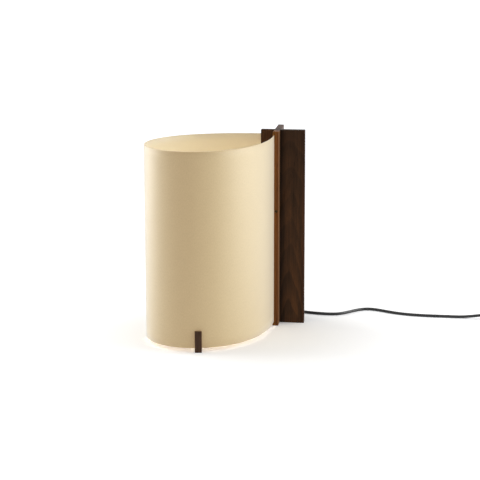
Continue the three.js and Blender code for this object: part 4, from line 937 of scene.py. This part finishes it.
class LAMP_OT_holder(bpy.types.Operator):
    """Bolts on the bracket and stands the stem, its nut and sleeve and the lampholder on it"""

    bl_idname = "lamp.holder"
    bl_label = "Bracket, stem and lampholder"

    def execute(self, context):
        softened("holder_bracket", "powder_coat", 0.35 * MM, 3)
        for number in (1, 2):
            screw(f"bracket_screw_side_{number}", 1, BRACKET_SCREW)
            screw(f"bracket_screw_depth_{number}", 0, BRACKET_SCREW)
        self.stem()
        self.lampholder()
        return {"FINISHED"}

    def stem(self):
        """Turns the threaded tube, its nut and its sleeve."""
        radius = 5 * MM
        bore = radius + SLIP
        thread = cut_thread(1.0 * MM, 0.5 * MM, *ends("stem_tube"), outside=4.5 * MM)
        ringed("stem_tube", (3.4 * MM, radius), 0.2 * MM, "brass", thread, 0.2 * MM, 48)
        # A nut 14 mm across its flats, chamfered at its corners
        bottom, top = ends("stem_nut")
        across, chamfer = 14 * MM, 0.6 * MM
        corner, face = across / np.sqrt(3), across * 0.47

        def hexagon(height, angle, radius):
            """A flat is half the width across flats, over the cosine of the angle from its
            middle. Points further out than it move in to it."""
            flat = across / 2 / np.cos((angle + np.pi / 6) % (np.pi / 3) - np.pi / 6)
            return np.where(radius > across * 0.45, np.minimum(radius, flat) - radius, 0)

        ringed("stem_nut", [
            (bore, bottom), (face, bottom), (corner, bottom + chamfer), (corner, top - chamfer),
            (face, top), (bore, top)], 0.15 * MM, "brass", hexagon, 0.2 * MM, 144)
        ringed("stem_sleeve", (bore, 7 * MM), 0.5 * MM, "powder_coat")

    def lampholder(self):
        """Turns the cup, the skirt, the ceramic insert and the threaded shell, and rounds the
        contact."""
        outer, wall, bore, boss = 20.5 * MM, 2 * MM, 5.3 * MM, 9 * MM
        bottom, top = ends("holder_cap")
        floor, flare = bottom + 6 * MM, bottom + 14 * MM
        ringed("holder_cap", [
            (bore, bottom), (boss, bottom), (boss, bottom + 4 * MM), (outer, bottom + 12 * MM),
            (outer, top), (outer - wall, top), (outer - wall, flare), (boss, floor), (bore, floor)],
            0.8 * MM, "phenolic", flutes(flare, top - 1.5 * MM), 0.8 * MM, 320)
        seat, collar, mouth = top + SLIP, outer - wall - SLIP, 16.5 * MM
        bottom, top = ends("holder_skirt")
        ringed("holder_skirt", [
            (mouth, bottom), (collar, bottom), (collar, seat), (outer, seat), (outer, top - 6 * MM),
            (outer - 1.2 * MM, top), (mouth, top)],
            0.6 * MM, "phenolic", flutes(seat + 1.5 * MM, seat + 13 * MM), 0.8 * MM, 320)
        bottom, top = ends("holder_insert")
        rim, nose, rim_low, rim_top = collar - SLIP, 15.8 * MM, bottom + 6 * MM, top - 6 * MM
        insert = rounded([
            (POLE, bottom), (boss, bottom), (boss, rim_low), (rim, rim_low), (rim, rim_top),
            (nose, rim_top), (nose, top), (POLE, top)], 0.5 * MM)
        turn_upright("holder_insert", denser(insert, 1 * MM), "ceramic")
        bottom, top = ends("holder_shell")
        ringed("holder_shell", (13.4 * MM, 13.9 * MM), 0.1 * MM, "brass",
               rolled_thread(bottom + 1.5 * MM, top - 0.5 * MM, 0.9 * MM), 0.3 * MM, 72)
        softened("holder_contact", "brass", 0.12 * MM)


class LAMP_OT_bulb(bpy.types.Operator):
    """Screws in the bulb: solder tip, black glass insulator, threaded cap and opal glass"""

    bl_idname = "lamp.bulb"
    bl_label = "Bulb"

    def execute(self, context):
        contact, skirt = 4.6 * MM, 11 * MM
        bottom, top = ends("bulb_tip")
        dome = np.linspace(0, np.pi / 2, 12)[:, None]
        solder = np.hstack([np.sin(dome) * contact + POLE, top - np.cos(dome) * (top - bottom)])
        turn_upright("bulb_tip", np.vstack([solder, [(POLE, top)]]), "tin_solder", sides=64)
        bottom, top = ends("bulb_insulator")
        cone = rounded([
            (POLE, bottom), (contact, bottom), (6 * MM, bottom + 0.6 * MM), (skirt, top),
            (POLE, top)], 0.5 * MM)
        turn_upright("bulb_insulator", denser(cone, 0.8 * MM), "phenolic", sides=64)
        bottom, top = ends("bulb_cap")
        outer, wall = 13.1 * MM, 0.5 * MM
        ringed("bulb_cap", [
            (skirt, bottom), (outer, bottom + 1.2 * MM), (outer, top), (outer - wall, top),
            (outer - wall, bottom + 1.7 * MM), (skirt, bottom + wall)],
            0.15 * MM, "nickel_brass", rolled_thread(bottom + 2 * MM, top - 3 * MM, -0.9 * MM),
            0.3 * MM, 72)
        glass = np.vstack([self.glass(0), self.glass(1 * MM)[::-1], self.glass(0)[:1]])
        points, faces = turned(glass, 96)
        piece = put("bulb_glass_blown", points + [*middle("bulb_cap")[:2], 0], faces,
                    "opal_glass", ("bulb_glass",), sharp=60)
        merge_doubles(piece.data)
        return {"FINISHED"}

    def glass(self, wall):
        """Half the glass's section, less a wall: a neck, a shoulder that widens as the power 0.8 of
        (1 - cos) / 2, and a round dome. The dome ends on the axis."""
        bottom = ends("bulb_cap")[1]
        neck, shoulder = bottom + 8 * MM, bottom + 45 * MM
        narrow, wide = 14 * MM - wall, 30 * MM - wall
        t = np.linspace(0, 1, 40)[:, None]
        ease = wave(np.pi * t) ** 0.8
        swell = np.hstack([narrow + (wide - narrow) * ease, neck + (shoulder - neck) * t])
        turn = np.linspace(0, np.pi / 2, 32)[1:, None]
        dome = np.hstack([wide * np.cos(turn), shoulder + wide * np.sin(turn)])
        return np.vstack([[(narrow - 0.3 * MM, bottom)], swell, dome])


class LAMP_OT_lead(bpy.types.Operator):
    """Runs the lead from the lampholder through the stem to the gland, held by its saddle"""

    bl_idname = "lamp.lead"
    bl_label = "Inner lead, saddle and gland"

    def execute(self, context):
        (x, y, _), gland = middle("stem_tube"), middle("cord_gland")
        tube("inner_lead_line", bent([
            (x, y, ends("inner_lead")[1]), (x, y, gland[2]), (gland[0], -41 * MM, gland[2]),
            (gland[0], ends("inner_lead", 1)[1], gland[2])], 24 * MM, 2 * MM), ("inner_lead",))
        softened("lead_saddle", "nylon", 0.3 * MM, 3)
        screw("saddle_screw", 0, BRACKET_SCREW)
        screw("lock_screw", 1, (3 * MM, 2.2 * MM, 2 * MM), True, "blackened_steel")
        neck, collar, collar_low, start = 4.2 * MM, 7 * MM, 8.3 * MM, 10.3 * MM
        relief("cord_gland", [
            (POLE, 0), (neck, 0), (neck, collar_low), (collar, collar_low), (collar, start),
            *ribbed_tail(5.2 * MM, 3.9 * MM, 32 * MM, 5, 0.7 * MM, start)], 0.5 * MM, axis=1)
        return {"FINISHED"}


class LAMP_OT_switch(bpy.types.Operator):
    """Fits the hand switch on the cord: body, rocker, pin, contacts, screws and reliefs"""

    bl_idname = "lamp.switch"
    bl_label = "Hand switch"

    def execute(self, context):
        for node in ("switch_base", "switch_cover"):
            softened(node, "abs_black", 0.3 * MM, 3)
        softened("switch_rocker", "abs_black", 0.35 * MM, 3, ROCKER)
        for node in ("switch_terminal_in", "switch_terminal_out", "switch_blade"):
            softened(node, "brass", 0.12 * MM)
        radius, (start, end) = 1.2 * MM, ends("switch_pivot", 1)
        long = end - start
        pin = rounded([(POLE, 0), (radius, 0), (radius, long), (POLE, long)], 0.2 * MM)
        turn_on("switch_pivot", denser(pin, 1 * MM), "zinc_plate", axis=1, sides=40)
        for number in (1, 2):
            screw(f"switch_screw_{number}", 2, (2.4 * MM, 1.6 * MM, 1.3 * MM))
        neck, start = 4.2 * MM, 5.3 * MM
        corners = [(POLE, 0), (neck, 0), (neck, start),
                   *ribbed_tail(4.8 * MM, 3.8 * MM, 20 * MM, 3, 0.6 * MM, start)]
        relief("switch_relief_in", corners, 0.45 * MM, axis=0, way=-1)
        relief("switch_relief_out", corners, 0.45 * MM, axis=0)
        return {"FINISHED"}


class LAMP_OT_plug(bpy.types.Operator):
    """Ties the coil and fits the flat two-pin plug on the cord's end"""

    bl_idname = "lamp.plug"
    bl_label = "Coil tie and plug"

    def execute(self, context):
        softened("coil_tie", "soft_pvc", 0.25 * MM, 3)
        softened("plug_body", "abs_black", 0.4 * MM, 3)
        neck, root, seat = 4.7 * MM, 5 * MM, 2.7 * MM
        tail = ribbed_tail(root, 3.9 * MM, 24 * MM, 4, 0.7 * MM, start=3 * MM)
        relief("plug_tail", [(POLE, 0), (neck, 0), (neck, seat), (root, seat), *tail[1:]],
               0.45 * MM, axis=0, way=-1)
        core, radius, shoulder = 1.1 * MM, 2 * MM, 16 * MM
        for node in ("plug_pin_1", "plug_pin_2"):
            start, end = ends(node, 0)
            long = end - start
            dome = np.linspace(0, np.pi / 2, 12)[:, None]
            tip = np.hstack([radius * np.cos(dome), long - radius + radius * np.sin(dome)])
            tip[-1, 0] = POLE
            stalk = rounded([(POLE, 0), (core, 0), (core, shoulder), (radius, shoulder),
                             (radius, long - radius)], 0.15 * MM)
            turn_on(node, np.vstack([denser(stalk, 1 * MM), tip[1:]]), "nickel_brass", axis=0,
                    sides=48)
        return {"FINISHED"}


class LAMP_OT_stage(bpy.types.Operator):
    """Lays a pale floor and sets plain soft studio light"""

    bl_idname = "lamp.stage"
    bl_label = "Stage"

    def execute(self, context):
        chosen, far = settings().light, FLOOR_REACH
        mesh = bpy.data.meshes.new("pale_floor")
        mesh.from_pydata([(-far, -far, 0), (far, -far, 0), (far, far, 0), (-far, far, 0)], [],
                         [(0, 1, 2, 3)])
        mesh.materials.append(white_paper("Matt white paper", "f7f6f4", (-0.06, -0.06, 0)))
        linked("pale_floor", mesh)
        for (name, place, width, depth), power in zip(SOFTBOXES, (chosen.left, chosen.right)):
            data = given(bpy.data.lights.new(name, "AREA"), shape="RECTANGLE", size=width,
                         size_y=depth, energy=power)
            turn = (AIM - Vector(place)).to_track_quat("-Z", "Y")
            given(linked(name, data), location=place, rotation_mode="QUATERNION",
                  rotation_quaternion=turn)
        # A white room to the camera and in reflections, and an even plain light elsewhere
        world = given(bpy.data.worlds.new("white_room"), use_nodes=True)
        add = partial(add_node, world.node_tree)
        strength = add("Mix", seen(add), A=chosen.world, B=1.0)
        feed(world.node_tree.nodes["Background"], {"Color": (1, 1, 1, 1), "Strength": strength})
        context.scene.world = world
        context.scene.view_settings.view_transform = "Standard"
        return {"FINISHED"}


class LAMP_PT_panel(bpy.types.Panel):
    """Lists the lamp's pieces in the sidebar"""

    bl_idname = "LAMP_PT_panel"
    bl_label = "Walnut lamp"
    bl_space_type = "VIEW_3D"
    bl_region_type = "UI"
    bl_category = "Lamp"

    def draw(self, context):
        chosen = settings()
        for group in (chosen.camera, chosen.sheet, chosen.cord, chosen.light, chosen.colours):
            for key in group.__annotations__:
                self.layout.prop(group, key)
        for operator in OPERATORS:
            self.layout.operator(operator.bl_idname)


OPERATORS = (LAMP_OT_camera, LAMP_OT_cords, LAMP_OT_sheet, LAMP_OT_wood, LAMP_OT_holder,
             LAMP_OT_bulb, LAMP_OT_lead, LAMP_OT_switch, LAMP_OT_plug, LAMP_OT_stage)
CLASSES = (CameraSettings, SheetSettings, ColourSettings, CordSettings, LightSettings,
           LampSettings, *OPERATORS, LAMP_PT_panel)


def register():
    for made in CLASSES:
        bpy.utils.register_class(made)
    bpy.types.Scene.walnut_lamp = PointerProperty(type=LampSettings)


def unregister():
    del bpy.types.Scene.walnut_lamp
    for made in reversed(CLASSES):
        bpy.utils.unregister_class(made)


def main():
    """Makes the lamp."""
    register()
    for operator in OPERATORS:
        group, name = operator.bl_idname.split(".")
        getattr(getattr(bpy.ops, group), name)()


if __name__ == "__main__":
    main()
